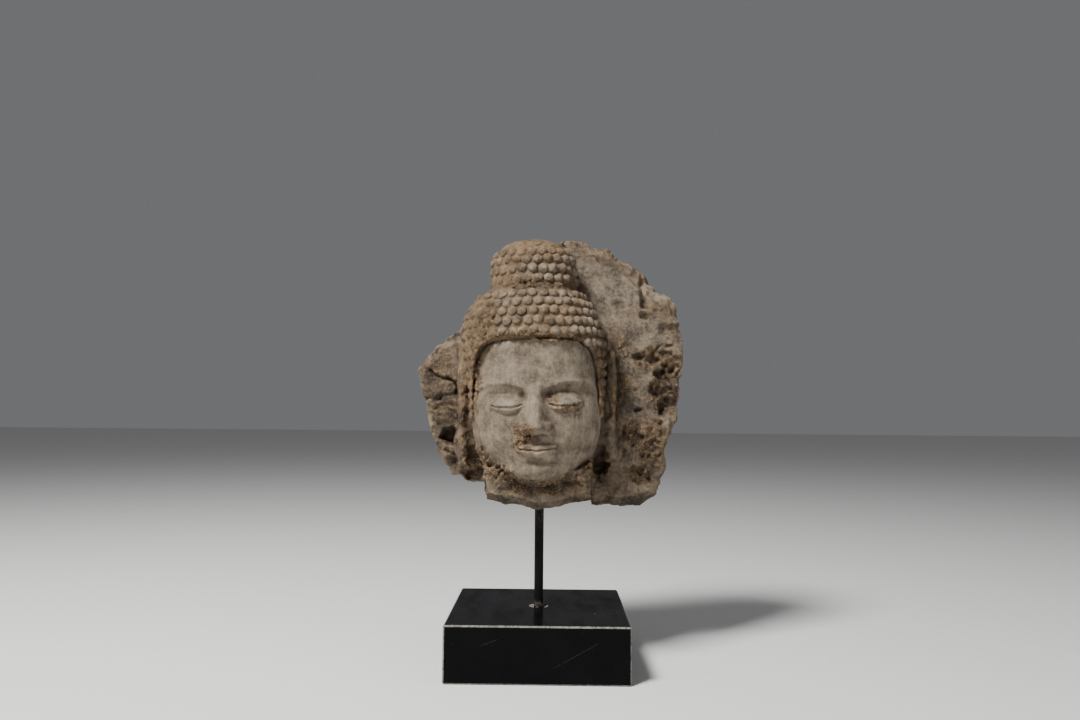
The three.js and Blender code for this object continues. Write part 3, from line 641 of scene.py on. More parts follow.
        behind = smooth(y, 0.03, 0.1).astype(np.float32)
        edge = sheet(smooth(self.outline, *SIDE_BLEND)) * behind
        outline = sheet(self.outline)
        slab = np.maximum(outline, sheet(self.front) - y)
        slab = np.maximum(slab, back)
        slab = np.maximum(slab, 0.7071 * (outline + back) + 0.03 + 0.02 * large)
        turn = np.arctan2(self.z - SLAB_MIDDLE[1], self.x - SLAB_MIDDLE[0]) + math.pi
        around = (turn / self.step).astype(int)
        strip = (int(2 * math.pi / self.step) + 2, self.shape[1])
        sides = blur(flakes(strip, FLAKE_CELL / self.step, self.seed + 25), 3)
        chipped = np.clip(sides, -0.3, 1).astype(np.float32)[around].transpose(0, 2, 1)
        slab += edge * FLAKE_DEPTH * chipped * smooth(y, 0.14, 0.24).astype(np.float32)
        slab += edge * (relief(SIDE_RELIEF, 0.022 * np.abs(large)) - SIDE_LIFT)
        stone = soft_union(head, slab, np.float32(SLAB_FILLET))
        for direction in (1, -1):
            worn_ear = relief(EAR_RELIEF, ear(x, y, h, direction).astype(np.float32))
            stone = soft_union(stone, worn_ear, np.float32(EAR_FILLET))
        bevel = 0.75 * np.clip(NECK_FRONT + NECK_BAND_REACH - y, 0, NECK_BAND_REACH)
        floor = relief(UNDERSIDE_RELIEF, (self.lowest - self.z)[:, None, :] + bevel)
        under = (np.abs(self.x) < UNDERSIDE_HALF_WIDTH)[:, None, :]
        stone = np.where(under, np.maximum(stone, floor), stone)
        rough = sheet(self.rough) * (1 - smooth(y, 0.2, 0.3)).astype(np.float32)
        stone += rough * relief(BREAK_RELIEF)
        near = (1 - smooth(y, 0.05, 0.15)).astype(np.float32)
        for cover, shares in ((self.crust, CRUST_COVER), (self.earth, EARTH_COVER)):
            stone -= sheet(cover) * near * (shares[0] + shares[1] * fine + shares[2] * middling)
        stone -= relief(BARE_RELIEF, 0.0013 * large)
        bore = np.float32(ROD_RADIUS + SOCKET_CLEARANCE) / self.face
        socket = np.hypot(self.axes[0][:, None, None], y) - bore
        rod_top = np.float32((ROD_HIGH[2] - self.base) / self.face)
        above_rod = self.axes[2][None, None, :] - rod_top - np.float32(SOCKET_ROOM)
        socket = np.maximum(socket, above_rod)
        self.field = np.maximum(stone, -socket).astype(np.float32)
        return self

    def surface(self):
        """Closed quads of the surface, one corner in each grid cell that it crosses."""
        field = self.field
        solid = field < 0
        solid[0] = solid[-1] = False
        solid[:, 0] = solid[:, -1] = False
        solid[:, :, 0] = solid[:, :, -1] = False
        field = np.where(solid, np.minimum(field, -1e-5), np.maximum(field, 1e-5))
        corners = [solid[i:solid.shape[0] - 1 + i, j:solid.shape[1] - 1 + j, k:solid.shape[2] - 1 + k]
                   for i in (0, 1) for j in (0, 1) for k in (0, 1)]
        count = sum(corner.astype(np.int8) for corner in corners)
        cells = np.argwhere((count > 0) & (count < 8))
        numbers = np.full(count.shape, -1, np.int32)
        numbers[tuple(cells.T)] = np.arange(len(cells))
        total = np.zeros((len(cells), 3))
        hits = np.zeros(len(cells))
        offsets = [(i, j, k) for i in (0, 1) for j in (0, 1) for k in (0, 1)]
        values = {offset: field[tuple((cells + offset).T)] for offset in offsets}
        for start in offsets:
            for axis in range(3):
                if start[axis]:
                    continue
                end = tuple(value + (axis == side) for side, value in enumerate(start))
                crossing = (values[start] < 0) != (values[end] < 0)
                share = values[start] / np.where(crossing, values[start] - values[end], 1)
                point = np.array(start, float)[None, :].repeat(len(cells), 0)
                point[:, axis] += share
                total += point * crossing[:, None]
                hits += crossing
        points = cells + total / hits[:, None]
        quads = []
        for axis in range(3):
            lower = [slice(None)] * 3
            upper = [slice(None)] * 3
            lower[axis] = slice(0, -1)
            upper[axis] = slice(1, None)
            edges = np.argwhere(solid[tuple(lower)] != solid[tuple(upper)])
            first, second = [side for side in range(3) if side != axis]
            ring = []
            for a, b in ((0, 0), (1, 0), (1, 1), (0, 1)):
                cell = edges.copy()
                cell[:, first] -= 1 - a
                cell[:, second] -= 1 - b
                ring.append(numbers[tuple(cell.T)])
            ring = np.stack(ring, 1)
            inside_first = solid[tuple(lower)][tuple(edges.T)]
            turned = inside_first if axis != 1 else ~inside_first
            ring[~turned] = ring[~turned][:, ::-1]
            quads.append(ring)
        metres = (self.low + points * self.step) * self.face + (0, 0, self.base)
        return largest_part(metres, np.concatenate(quads))

    def fullness(self, radius):
        """Share of stone in a box round each grid point: over half in hollows, under it on ridges."""
        share = (self.field < 0).astype(np.float32)
        for axis in range(3):
            total = np.cumsum(share, axis)
            count = share.shape[axis]
            high = np.take(total, np.minimum(np.arange(count) + radius, count - 1), axis)
            low_index = np.arange(count) - radius - 1
            low = np.take(total, np.maximum(low_index, 0), axis)
            mask = (low_index >= 0).reshape([-1 if side == axis else 1 for side in range(3)])
            share = (high - low * mask) / (2 * radius + 1)
        return share

    def read(self, values, points):
        """Values of a volume, or of a flat map of the front, at points in metres."""
        place = ((points - (0, 0, self.base)) / self.face - self.low) / self.step
        if values.ndim == 2:
            place = place[:, (0, 2)]
        limit = np.array(values.shape) - 1.001
        place = np.clip(place, 0, limit)
        base = place.astype(int)
        share = place - base
        result = np.zeros(len(points))
        for corner in np.ndindex(*(2,) * values.ndim):
            weight = np.prod(np.where(corner, share, 1 - share), axis=1)
            result += weight * values[tuple((base + corner).T)]
        return result


# Rows of curls on the hair, from the ends of the side hair up to the crown

FIRST_ROW = 1.059
SIDE_ROWS = 8
CAP_ROWS = (FIRST_ROW, 1.132, 1.204, 1.274, 1.339)
TOPKNOT_ROWS = (1.462, 1.535, 1.61)
CROWN_ELEVATIONS = tuple(math.radians(angle) for angle in (24, 42, 60, 76))
ROW_SPACING = 0.96
SIDE_LIMIT = math.radians(92)


def hair_rows(pitch):
    rows = [(FIRST_ROW - row * pitch * ROW_SPACING, 0.0) for row in range(SIDE_ROWS, 0, -1)]
    rows += [(height, 0.0) for height in CAP_ROWS + TOPKNOT_ROWS]
    return rows + [(TOPKNOT_CENTRE + 0.05, elevation) for elevation in CROWN_ELEVATIONS]


# Rays that find the head's surface, in face heights: where they start, their step, and how often
# the last step is halved. Slopes of the surface are taken over a short stretch.
RAY_START = 0.9
RAY_STEP = 0.01
RAY_HALVINGS = 12
SLOPE_STRETCH = 0.004


def head_points(height, elevation, angles):
    """Points of the head's surface along rays from its axis, in face heights."""
    across = np.sin(angles) * np.cos(elevation)
    back = -np.cos(angles) * np.cos(elevation)
    up = np.sin(elevation) * np.ones_like(angles)
    reach = np.full(angles.shape, RAY_START)
    for _ in range(round(RAY_START / RAY_STEP)):
        outside = head_surface(across * reach, back * reach, height + up * reach) > 0
        reach = np.where(outside & (reach > RAY_STEP), reach - RAY_STEP, reach)
    low, high = reach, reach + RAY_STEP
    for _ in range(RAY_HALVINGS):
        middle = (low + high) / 2
        outside = head_surface(across * middle, back * middle, height + up * middle) > 0
        high = np.where(outside, middle, high)
        low = np.where(outside, low, middle)
    return np.stack((across * low, back * low, height + up * low), 1)


def outward(points):
    """Unit directions away from the head's surface."""
    slopes = []
    for axis in range(3):
        shift = np.eye(3)[axis] * SLOPE_STRETCH
        slopes.append(head_surface(*(points + shift).T) - head_surface(*(points - shift).T))
    slopes = np.stack(slopes, 1)
    return slopes / np.linalg.norm(slopes, axis=1, keepdims=True)


def curl_seats(pitch, seed):
    """Seats of the curls: points in the head's frame, directions, and how much of each is left."""
    draw = np.random.default_rng(seed)
    seats = []
    angles = np.arange(0, SIDE_LIMIT, 0.01)
    for row, (height, elevation) in enumerate(hair_rows(pitch)):
        line = head_points(height, elevation, angles)
        bare = hair_distance(line[:, 0], line[:, 2]) <= 0.012
        first = int(np.argmin(bare)) if bare[0] else 0
        line = line[first:]
        travelled = np.concatenate(([0], np.cumsum(np.linalg.norm(np.diff(line, axis=0), axis=1))))
        staggered = row % 2 == 1
        start = pitch / 2 if staggered else (pitch if first else 0)
        for distance in np.arange(start, travelled[-1], pitch):
            angle = np.interp(distance, travelled, angles[first:])
            for side in ((1, -1) if distance else (1,)):
                wobble = draw.normal(0, 0.008, 2)
                seats.append((height + wobble[0] * 0.5, elevation, side * angle + wobble[1] * 0.6))
    points = np.concatenate([head_points(height, elevation, np.array([angle]))
                             for height, elevation, angle in seats])
    x, _, h = points.T
    left_crown = smooth(-x, -0.06, 0.1) * smooth(h, 1.4, 1.45) * lerp(0.75, 0.4, smooth(h, 1.49, 1.53))
    crown = 0.9 * smooth(h, 1.63, 1.76)
    left_side = lerp(0.42, 0.6, smooth(h, 0.85, 1.05)) * smooth(-x, 0.34, 0.46)
    right_end = 0.5 * smooth(x, 0.34, 0.46) * (1 - smooth(h, 0.52, 0.66))
    worn = np.max((left_crown, crown, left_side, right_end), axis=0)
    luck = np.where(draw.uniform(size=len(x)) < 0.12, 0.4, 0)
    left = 1 - np.clip(worn + luck + draw.uniform(-0.06, 0.1, len(x)), 0, 0.95)
    return points, outward(points), left


# Meshes, trees of nodes and finishes

def mesh_from_arrays(name, points, faces):
    mesh = bpy.data.meshes.new(name)
    mesh.vertices.add(len(points))
    mesh.vertices.foreach_set("co", points.astype(np.float32).ravel())
    if len(faces):
        size = faces.shape[1]
        mesh.loops.add(faces.size)
        mesh.loops.foreach_set("vertex_index", faces.astype(np.int32).ravel())
        mesh.polygons.add(len(faces))
        mesh.polygons.foreach_set("loop_start", np.arange(0, faces.size, size, dtype=np.int32))
    mesh.update(calc_edges=True)
    mesh.validate()
    return mesh


def mesh_points(mesh):
    points = np.empty(len(mesh.vertices) * 3, np.float32)
    mesh.vertices.foreach_get("co", points)
    return points.reshape(-1, 3).astype(float)


def write_attribute(mesh, name, values):
    kind, field = ("FLOAT", "value") if values.ndim == 1 else ("FLOAT_VECTOR", "vector")
    layer = mesh.attributes.new(name, kind, "POINT")
    layer.data.foreach_set(field, values.astype(np.float32).ravel())


def place_in_scene(mesh, name):
    piece = bpy.data.objects.new(name, mesh)
    bpy.context.scene.collection.objects.link(piece)
    return piece


def take_plain_mesh(piece):
    """The evaluated piece as a plain mesh, with its modifiers gone."""
    ready = piece.evaluated_get(bpy.context.evaluated_depsgraph_get())
    mesh = bpy.data.meshes.new_from_object(ready)
    old = piece.data
    piece.modifiers.clear()
    piece.data = mesh
    bpy.data.meshes.remove(old)
    mesh.name = piece.name


def add_node(tree, kind, settings=None, inputs=None):
    """A node of a tree, with its settings first and then its sockets' values or links."""
    node = tree.nodes.new(kind)
    for name, value in (settings or {}).items():
        setattr(node, name, value)
    for name, value in (inputs or {}).items():
        socket = node.inputs[name]
        if isinstance(value, Term):
            value = value.socket
        if isinstance(value, bpy.types.NodeSocket):
            tree.links.new(value, socket)
        else:
            socket.default_value = value
    return node


def first_output(node):
    return next(socket for socket in node.outputs if socket.enabled)


class Term:
    """A number in a tree of nodes, which adds Math nodes when it is used in a sum."""

    def __init__(self, tree, socket):
        self.tree = tree
        self.socket = socket

    def join(self, operation, first, second=None):
        inputs = {0: first} if second is None else {0: first, 1: second}
        node = add_node(self.tree, "ShaderNodeMath", {"operation": operation}, inputs)
        return Term(self.tree, node.outputs[0])

    def __add__(self, other):
        return self.join("ADD", self, other)

    def __radd__(self, other):
        return self.join("ADD", other, self)

    def __sub__(self, other):
        return self.join("SUBTRACT", self, other)

    def __rsub__(self, other):
        return self.join("SUBTRACT", other, self)

    def __mul__(self, other):
        return self.join("MULTIPLY", self, other)

    def __rmul__(self, other):
        return self.join("MULTIPLY", other, self)

    def __abs__(self):
        return self.join("ABSOLUTE", self)

    def most(self, other):
        return self.join("MAXIMUM", self, other)

    def least(self, other):
        return self.join("MINIMUM", self, other)

    def ramp(self, low, high):
        """0 below low, 1 above high, smooth between."""
        settings = {"interpolation_type": "SMOOTHSTEP", "clamp": True}
        inputs = {"Value": self, "From Min": low, "From Max": high}
        node = add_node(self.tree, "ShaderNodeMapRange", settings, inputs)
        return Term(self.tree, node.outputs["Result"])


# Scratches: where a line's edge lies on either side of its middle, and how its ends fade, in metres
LINE_EDGE = (0.00005, 0.00018)
LINE_FADE = 0.002
FRONT_SCRATCHES = (((0.012, 0.013), (0.05, 0.034)), ((-0.046, 0.03), (-0.03, 0.036)))
TOP_SCRATCHES = (((0.03, -0.05), (0.052, -0.032)), ((-0.055, -0.02), (-0.03, -0.031)))


def tinted(colour, *shares):
    """A colour with its channels multiplied, all by one number or each by its own."""
    return [channel * share for channel, share in zip(colour, shares * (3 // len(shares)))]


class Finish:
    """A material whose patterns are worked out from a piece's own coordinates and attributes."""

    def __init__(self, name):
        self.material = bpy.data.materials.new(name)
        self.material.use_nodes = True
        self.tree = self.material.node_tree
        self.shader = self.tree.nodes["Principled BSDF"]
        self.place = add_node(self.tree, "ShaderNodeTexCoord").outputs["Object"]

    def noise(self, scale, detail=3.0, roughness=0.55, stretch=None):
        vector = self.place
        if stretch:
            vector = first_output(add_node(self.tree, "ShaderNodeMapping", None,
                                           {"Vector": vector, "Scale": stretch}))
        node = add_node(self.tree, "ShaderNodeTexNoise", None,
                        {"Vector": vector, "Scale": scale, "Detail": detail, "Roughness": roughness})
        return Term(self.tree, node.outputs["Fac"])

    def cells(self, scale):
        node = add_node(self.tree, "ShaderNodeTexVoronoi", None, {"Vector": self.place, "Scale": scale})
        return Term(self.tree, node.outputs["Distance"])

    def attribute(self, name):
        node = add_node(self.tree, "ShaderNodeAttribute", {"attribute_name": name})
        return Term(self.tree, node.outputs["Fac"])

    def axes(self):
        node = add_node(self.tree, "ShaderNodeSeparateXYZ", None, {0: self.place})
        return [Term(self.tree, node.outputs[i]) for i in range(3)]

    def mix(self, share, first, second, blend="MIX"):
        inputs = {"Factor": share}
        node = add_node(self.tree, "ShaderNodeMix", {"data_type": "RGBA", "blend_type": blend}, inputs)
        for slot, colour in ((6, first), (7, second)):
            if isinstance(colour, bpy.types.NodeSocket):
                self.tree.links.new(colour, node.inputs[slot])
            else:
                node.inputs[slot].default_value = (*colour, 1)
        return node.outputs[2]

    def grey(self, value):
        node = add_node(self.tree, "ShaderNodeCombineColor", None, {0: value, 1: value, 2: value})
        return node.outputs[0]

    def thin_line(self, across, up, start, end):
        """1 along a thin straight line between two points of a face, 0 elsewhere."""
        length = math.hypot(end[0] - start[0], end[1] - start[1])
        along = ((end[0] - start[0]) / length, (end[1] - start[1]) / length)
        travelled = (across - start[0]) * along[0] + (up - start[1]) * along[1]
        aside = abs((across - start[0]) * along[1] - (up - start[1]) * along[0])
        ends = travelled.ramp(0, LINE_FADE) * (length - travelled).ramp(0, LINE_FADE)
        return (1 - aside.ramp(*LINE_EDGE)) * ends

    def shade(self, colour, value):
        """The colour, darkened or lightened by a number."""
        return self.mix(1.0, colour, self.grey(value), "MULTIPLY")

    def wire(self, colour, roughness, height, distance):
        self.tree.links.new(colour, self.shader.inputs["Base Color"])
        self.tree.links.new(roughness.socket, self.shader.inputs["Roughness"])
        bump = add_node(self.tree, "ShaderNodeBump", None, {"Height": height, "Distance": distance})
        self.tree.links.new(bump.outputs[0], self.shader.inputs["Normal"])
        return self.material


def limestone(paint):
    """Grey limestone with earth in its hollows, brown crust, rubbed high places that also serve as
    painted highlights, dark grime, and painted shade in deep pits, under the chin, along the undersides
    and over the slab.
    """
    finish = Finish("weathered_limestone")
    wide = finish.noise(26, 3)
    clouds = finish.noise(85, 4, 0.6)
    mottle = finish.noise(330, 5, 0.72)
    grain = finish.noise(1150, 4, 0.75)
    streaks = finish.noise(240, 3, 0.6, (1.0, 1.0, 0.14))
    specks = finish.cells(420)
    crust = finish.attribute("crust")
    earth = finish.attribute("earth")
    grime_and_shade = finish.attribute("grime_and_shade")
    near = finish.attribute("near_relief")
    far = finish.attribute("far_relief")
    hollow = (0.5 - near).most(0.0) * 2.4
    # Deep hollows, found from how much stone surrounds a point: they get dark earth and painted shade.
    deep = (0.47 - far).ramp(0.02, 0.26)
    # Ridges are painted paler: rubbed wear and painted highlight, on bare stone, on earth and on crust
    # crumbs.
    ridge = (near - 0.5).most(0.0) * 2.2
    pale_share = ((wide * 0.6 + clouds * 0.4).ramp(0.42, 0.66) * 0.35 + ridge * 0.5).least(1.0)
    colour = finish.mix(pale_share, paint.grey, paint.pale)
    green_grey = tinted(paint.grey, 0.8, 0.86, 0.88)
    colour = finish.mix((clouds * 0.5 + mottle * 0.5).ramp(0.52, 0.64) * 0.4, colour, green_grey)
    rosy = tinted(paint.grey, 1.2, 1.08, 1.12)
    colour = finish.mix((1 - wide.ramp(0.36, 0.56)) * 0.35, colour, rosy)
    earth_share = (earth * (clouds * 0.5 + mottle * 0.5).ramp(0.36, 0.54)
                   + hollow.ramp(0.12, 0.55) * 0.75).least(0.95)
    colour = finish.mix(earth_share, colour, paint.ochre)
    light_earth = tinted(paint.ochre, 1.45)
    colour = finish.mix(earth * (ridge + mottle.ramp(0.5, 0.7) * 0.4).least(0.8), colour, light_earth)
    grains = finish.noise(620, 2, 0.5).ramp(0.4, 0.58)
    crust_share = (crust * (mottle * 0.6 + clouds * 0.4).ramp(0.36, 0.48)).least(1.0)
    pale_earth = tinted(paint.ochre, 1.8)
    crumbs = finish.mix((grains * 0.6 + ridge * 0.9).least(1.0), paint.crust, pale_earth)
    colour = finish.mix(crust_share * 0.9, colour, crumbs)
    colour = finish.mix(deep * 0.5, colour, paint.pit_dirt_and_shade)
    speck_share = (1 - specks.ramp(0.1, 0.2)) * mottle.ramp(0.5, 0.62) * 0.35
    colour = finish.mix(speck_share, colour, paint.crust)
    speckle = (grain * 1.3 + mottle * 1.7 - 1.5) * (1.0 + grime_and_shade * 1.1)
    stains = (clouds - 0.5) * grime_and_shade * 1.6
    shade = (speckle + clouds * 2.1 + stains + wide * 1.0 + streaks * 0.7 - 0.92).most(0.42)
    # Darkened by grime and by painted shade: over the slab, under the chin and along the undersides.
    colour = finish.shade(colour, shade * (1 - grime_and_shade * 0.4))
    roughness = paint.roughness + crust_share * 0.14 + grain * 0.1
    height = grain * 0.5 + mottle * (0.6 + earth * 0.8 + crust * 0.5) + clouds * 0.5
    height = height + crust * grains * 0.45
    finish.shader.inputs["Specular IOR Level"].default_value = 0.3
    return finish.wire(colour, roughness, height, 0.003)


def polished_black(paint, half_width, top, cut, bore):
    """Polished black stone with ground pale chamfers, dust, faint scratches and small chips."""
    finish = Finish("polished_black_stone")
    x, y, z = finish.axes()
    wobble = finish.noise(260, 3) * 0.0003 - 0.00015
    blur_width = 0.00004
    past_cut = 0.00005
    nearly = half_width - cut + past_cut
    sides = [(abs(axis) - nearly + wobble).ramp(-blur_width, blur_width) for axis in (x, y)]
    levels = (abs(z - top / 2) - (top / 2 - cut + past_cut) + wobble).ramp(-blur_width, blur_width)
    mouth = (bore * bore - (x * x + y * y)).ramp(0.0, 0.000004)
    ground = (sides[0] + sides[1] + levels - 1.0).ramp(0.1, 0.9).most(mouth)
    clouds = finish.noise(34, 5, 0.62)
    smears = finish.noise(60, 4, 0.6, (1.0, 0.35, 1.0))
    dust = (1 - finish.cells(640).ramp(0.05, 0.11)) * finish.noise(120, 2).ramp(0.5, 0.62)
    lines = [finish.thin_line(x, z, *ends) for ends in FRONT_SCRATCHES]
    lines += [finish.thin_line(x, y, *ends) for ends in TOP_SCRATCHES]
    scratches = sum(lines[1:], lines[0]) * finish.noise(300, 2).ramp(0.4, 0.55)
    chip = (0.0006 - abs(x - 0.048) - abs(y + 0.028)).ramp(0.0, 0.0002)
    colour = finish.mix(clouds.ramp(0.4, 0.75) * 0.5, paint.black, tinted(paint.black, 1.9))
    colour = finish.mix((dust * 0.25 + scratches * 0.12 + chip).least(1.0), colour, (0.3, 0.28, 0.26))
    ground_share = ground * (0.45 + finish.noise(420, 4).ramp(0.35, 0.65) * 0.5)
    colour = finish.mix(ground_share, colour, paint.ground)
    roughness = paint.polish + smears.ramp(0.35, 0.75) * 0.16 + ground * 0.5
    roughness = roughness + scratches * 0.15 + dust * 0.2
    height = smears * 0.02 - scratches * 0.05 + ground * finish.noise(1500, 2) * 0.3
    finish.shader.inputs["Specular IOR Level"].default_value = 0.05
    return finish.wire(colour, roughness, height, 0.0004)


def blackened_steel(paint, low, high):
    """Satin black rod with a fine drawn grain, rubbed patches and dust where it enters the stone."""
    finish = Finish("blackened_steel")
    z = finish.axes()[2]
    drawn = finish.noise(900, 2, 0.5, (1.0, 1.0, 0.04))
    worn = finish.noise(150, 4, 0.6)
    dust = (z - (high - 0.05)).ramp(0.0, 0.03) * finish.noise(600, 3).ramp(0.45, 0.6)
    foot = (low + 0.032 - z).ramp(0.0, 0.004) * finish.noise(500, 3).ramp(0.4, 0.6)
    colour = finish.mix(worn.ramp(0.5, 0.75) * 0.5, paint.steel, tinted(paint.steel, 2.2))
    colour = finish.mix((dust + foot).least(1.0) * 0.35, colour, (0.2, 0.17, 0.13))
    roughness = 0.3 + worn * 0.22 + drawn * 0.08 + dust * 0.3
    finish.shader.inputs["Specular IOR Level"].default_value = 0.09
    return finish.wire(colour, roughness, drawn * 0.4 + worn * 0.3, 0.00015)


def curl_tree():
    """Sets a worn drop-shaped curl on every point, facing the way the hair faces there."""
    tree = bpy.data.node_groups.new("curls_on_hair", "GeometryNodeTree")
    sockets = tree.interface
    sockets.new_socket("Geometry", in_out="INPUT", socket_type="NodeSocketGeometry")
    for name in ("Width", "Height", "Wear"):
        sockets.new_socket(name, in_out="INPUT", socket_type="NodeSocketFloat")
    sockets.new_socket("Stone", in_out="INPUT", socket_type="NodeSocketMaterial")
    sockets.new_socket("Geometry", in_out="OUTPUT", socket_type="NodeSocketGeometry")
    given = tree.nodes.new("NodeGroupInput").outputs

    def geometry(kind, settings=None, inputs=None):
        return first_output(add_node(tree, kind, settings, inputs))

    ball = geometry("GeometryNodeMeshUVSphere", None, {"Segments": 12, "Rings": 8, "Radius": 1.0})
    place = geometry("GeometryNodeInputPosition")
    parts = add_node(tree, "ShaderNodeSeparateXYZ", None, {0: place})
    across, along, up = (Term(tree, parts.outputs[i]) for i in range(3))
    narrow = 1.0 - up.most(0.0) * up.most(0.0) * 0.28
    drop = geometry("ShaderNodeCombineXYZ", None, {0: across * narrow, 1: along * narrow, 2: up})
    curl = geometry("GeometryNodeSetPosition", None, {"Geometry": ball, "Position": drop})
    named = "GeometryNodeInputNamedAttribute"
    size = Term(tree, geometry(named, {"data_type": "FLOAT"}, {"Name": "size"}))
    facing = geometry(named, {"data_type": "FLOAT_VECTOR"}, {"Name": "facing"})
    turn = geometry("FunctionNodeAlignRotationToVector", {"axis": "Z"}, {"Vector": facing})
    spread = Term(tree, given["Width"]) * 0.5 * (0.82 + size * 0.18)
    rise = Term(tree, given["Height"]) * size
    scale = geometry("ShaderNodeCombineXYZ", None, {0: spread, 1: spread, 2: rise})
    set_on = geometry("GeometryNodeInstanceOnPoints", None, {
        "Points": given["Geometry"], "Instance": curl, "Rotation": turn, "Scale": scale})
    bodies = geometry("GeometryNodeRealizeInstances", None, {"Geometry": set_on})
    bumps = geometry("ShaderNodeTexNoise", {"normalize": False}, {
        "Vector": geometry("GeometryNodeInputPosition"), "Scale": 330.0, "Detail": 2.0})
    push = geometry("ShaderNodeVectorMath", {"operation": "SCALE"}, {
        0: geometry("GeometryNodeInputNormal"), "Scale": Term(tree, bumps) * Term(tree, given["Wear"])})
    worn = geometry("GeometryNodeSetPosition", None, {"Geometry": bodies, "Offset": push})
    done = geometry("GeometryNodeSetMaterial", None, {"Geometry": worn, "Material": given["Stone"]})
    tree.links.new(done, tree.nodes.new("NodeGroupOutput").inputs["Geometry"])
    return tree


def run_tree(piece, tree, values):
    """Runs a tree on a piece with its inputs set, and keeps the result as the piece's plain mesh."""
    modifier = piece.modifiers.new(tree.name, "NODES")
    modifier.node_group = tree
    for socket in tree.interface.items_tree:
        if socket.in_out == "INPUT" and socket.name in values:
            modifier[socket.identifier] = values[socket.name]
    take_plain_mesh(piece)


class STONE_OT_curls(bpy.types.Operator):
    """Sets the rows of curls on the hair"""

    bl_idname = "stone_head.curls"
    bl_label = "Set the curls"

    def execute(self, context):
        carving = context.scene.carving
        hair = context.scene.hair
        points, directions, left = curl_seats(hair.curl_pitch / carving.face_height, carving.seed)
        kept = left > 0.2
        points, directions, left = points[kept], directions[kept], left[kept]
        lean = np.array(Matrix.Rotation(-carving.head_lean, 3, "Y"))
        raised = points + (0, 0, CHIN_RISE)
        metres = raised @ lean.T * carving.face_height + (0, 0, carving.stone_base)
        piece = place_in_scene(mesh_from_arrays("curls", metres, ()), "curls")
        write_attribute(piece.data, "size", left)
        write_attribute(piece.data, "facing", directions @ lean.T)
        stone = limestone(context.scene.stone_finish)
        run_tree(piece, curl_tree(), {"Width": hair.curl_width, "Height": hair.curl_height,
                                      "Wear": hair.curl_wear, "Stone": stone})
        return {"FINISHED"}


class STONE_OT_carve(bpy.types.Operator):
    """Carves the stone and joins the curls to it: head, ears, neck, broken slab, crust and earth"""

    bl_idname = "stone_head.carve"
    bl_label = "Carve the stone"

    def execute(self, context):
        settings = context.scene.carving
        grid = StoneGrid(settings).carve()
        points, faces = grid.surface()
        piece = place_in_scene(mesh_from_arrays("carved_stone", points, faces), "carved_stone")
        thin = piece.modifiers.new("thin", "DECIMATE")
        thin.ratio = min(1, settings.triangles / (2 * len(faces)))
        take_plain_mesh(piece)
        piece.data.materials.append(bpy.data.materials["weathered_limestone"])
        curls = bpy.data.objects["curls"]
        before = len(piece.data.polygons)
        join = piece.modifiers.new("join", "BOOLEAN")
        join.operation = "UNION"
        join.solver = "MANIFOLD"
        join.object = curls
        take_plain_mesh(piece)
        if len(piece.data.polygons) <= before:
            raise RuntimeError("the curls didn't join the stone")
        bpy.data.objects.remove(curls)
        piece.data.shade_smooth()
        self.stain(piece.data, grid, context.scene.hair)
        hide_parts("stone_head")
        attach(piece, "root")
        return {"FINISHED"}

    def stain(self, mesh, grid, hair):
        """Writes where crust, earth, hollows and high places are, for the finish to read."""
        points = mesh_points(mesh)
        depth = points[:, 1] / grid.face
        front = 1 - smooth(depth, 0.1, 0.2)
        near = 0.5 + 1.6 * (0.5 - grid.read(grid.fullness(2), points))
        far = 0.5 + 1.1 * (0.5 - grid.read(grid.fullness(9), points))
        above = grid.read(grid.field, points) * grid.face / hair.curl_height
        head_x, head_h = grid.read(grid.head_x, points), grid.read(grid.head_h, points)
        off_head = head_surface(head_x, depth, head_h)
        hair_here = grid.read(grid.hair, points) * (1 - smooth(depth, 0.04, 0.12))
        hair_here = hair_here * (1 - smooth(off_head, 0.032, 0.045))
        # Curl tops count as ridges (rubbed wear and painted highlight), their feet as hollows.
        near = lerp(near, 0.2 + 0.42 * np.clip(above, 0, 1), hair_here)
        hidden = smooth(depth, 0.09, 0.2)
        crust = grid.read(grid.crust, points) * front
        patchy = 0.45 + 0.4 * grid.read(grid.flat_noise(0.3, 20), points)
        earth = np.maximum(grid.read(grid.earth, points) * front, patchy * hidden)
        layers = {"near_relief": near, "far_relief": far, "crust": crust, "earth": earth}
        for name, values in layers.items():
            write_attribute(mesh, name, np.clip(values, 0, 1))
        # Darkening for the finish: dark grime, and painted shade over all of the slab behind the head,
        # under the chin and along the undersides.
        neck_here = 1 - smooth(head_h, -0.02, 0.05)
        slab_here = smooth(off_head, 0.02, 0.06) * (1 - hidden)
        grime_and_shade = grid.read(grid.grime_and_shade, points) * np.maximum(slab_here, neck_here)
        grime_and_shade = np.maximum(0.5 * slab_here, grime_and_shade)
        write_attribute(mesh, "grime_and_shade", grime_and_shade)


class STONE_OT_stand(bpy.types.Operator):
    """Finishes the plinth and the rod"""

    bl_idname = "stone_head.stand"
    bl_label = "Finish the stand"

    def execute(self, context):
        paint = context.scene.stand_finish
        half_width = float(PLINTH_HIGH[0])
        finishes = {
            "plinth": polished_black(paint, half_width, float(PLINTH_HIGH[2]), PLINTH_CUT, BORE_MOUTH),
            "support_rod": blackened_steel(paint, float(ROD_LOW[2]), float(ROD_HIGH[2])),
        }
        for name, material in finishes.items():
            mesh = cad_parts[name].data
            mesh.materials.clear()
            mesh.materials.append(material)
        return {"FINISHED"}


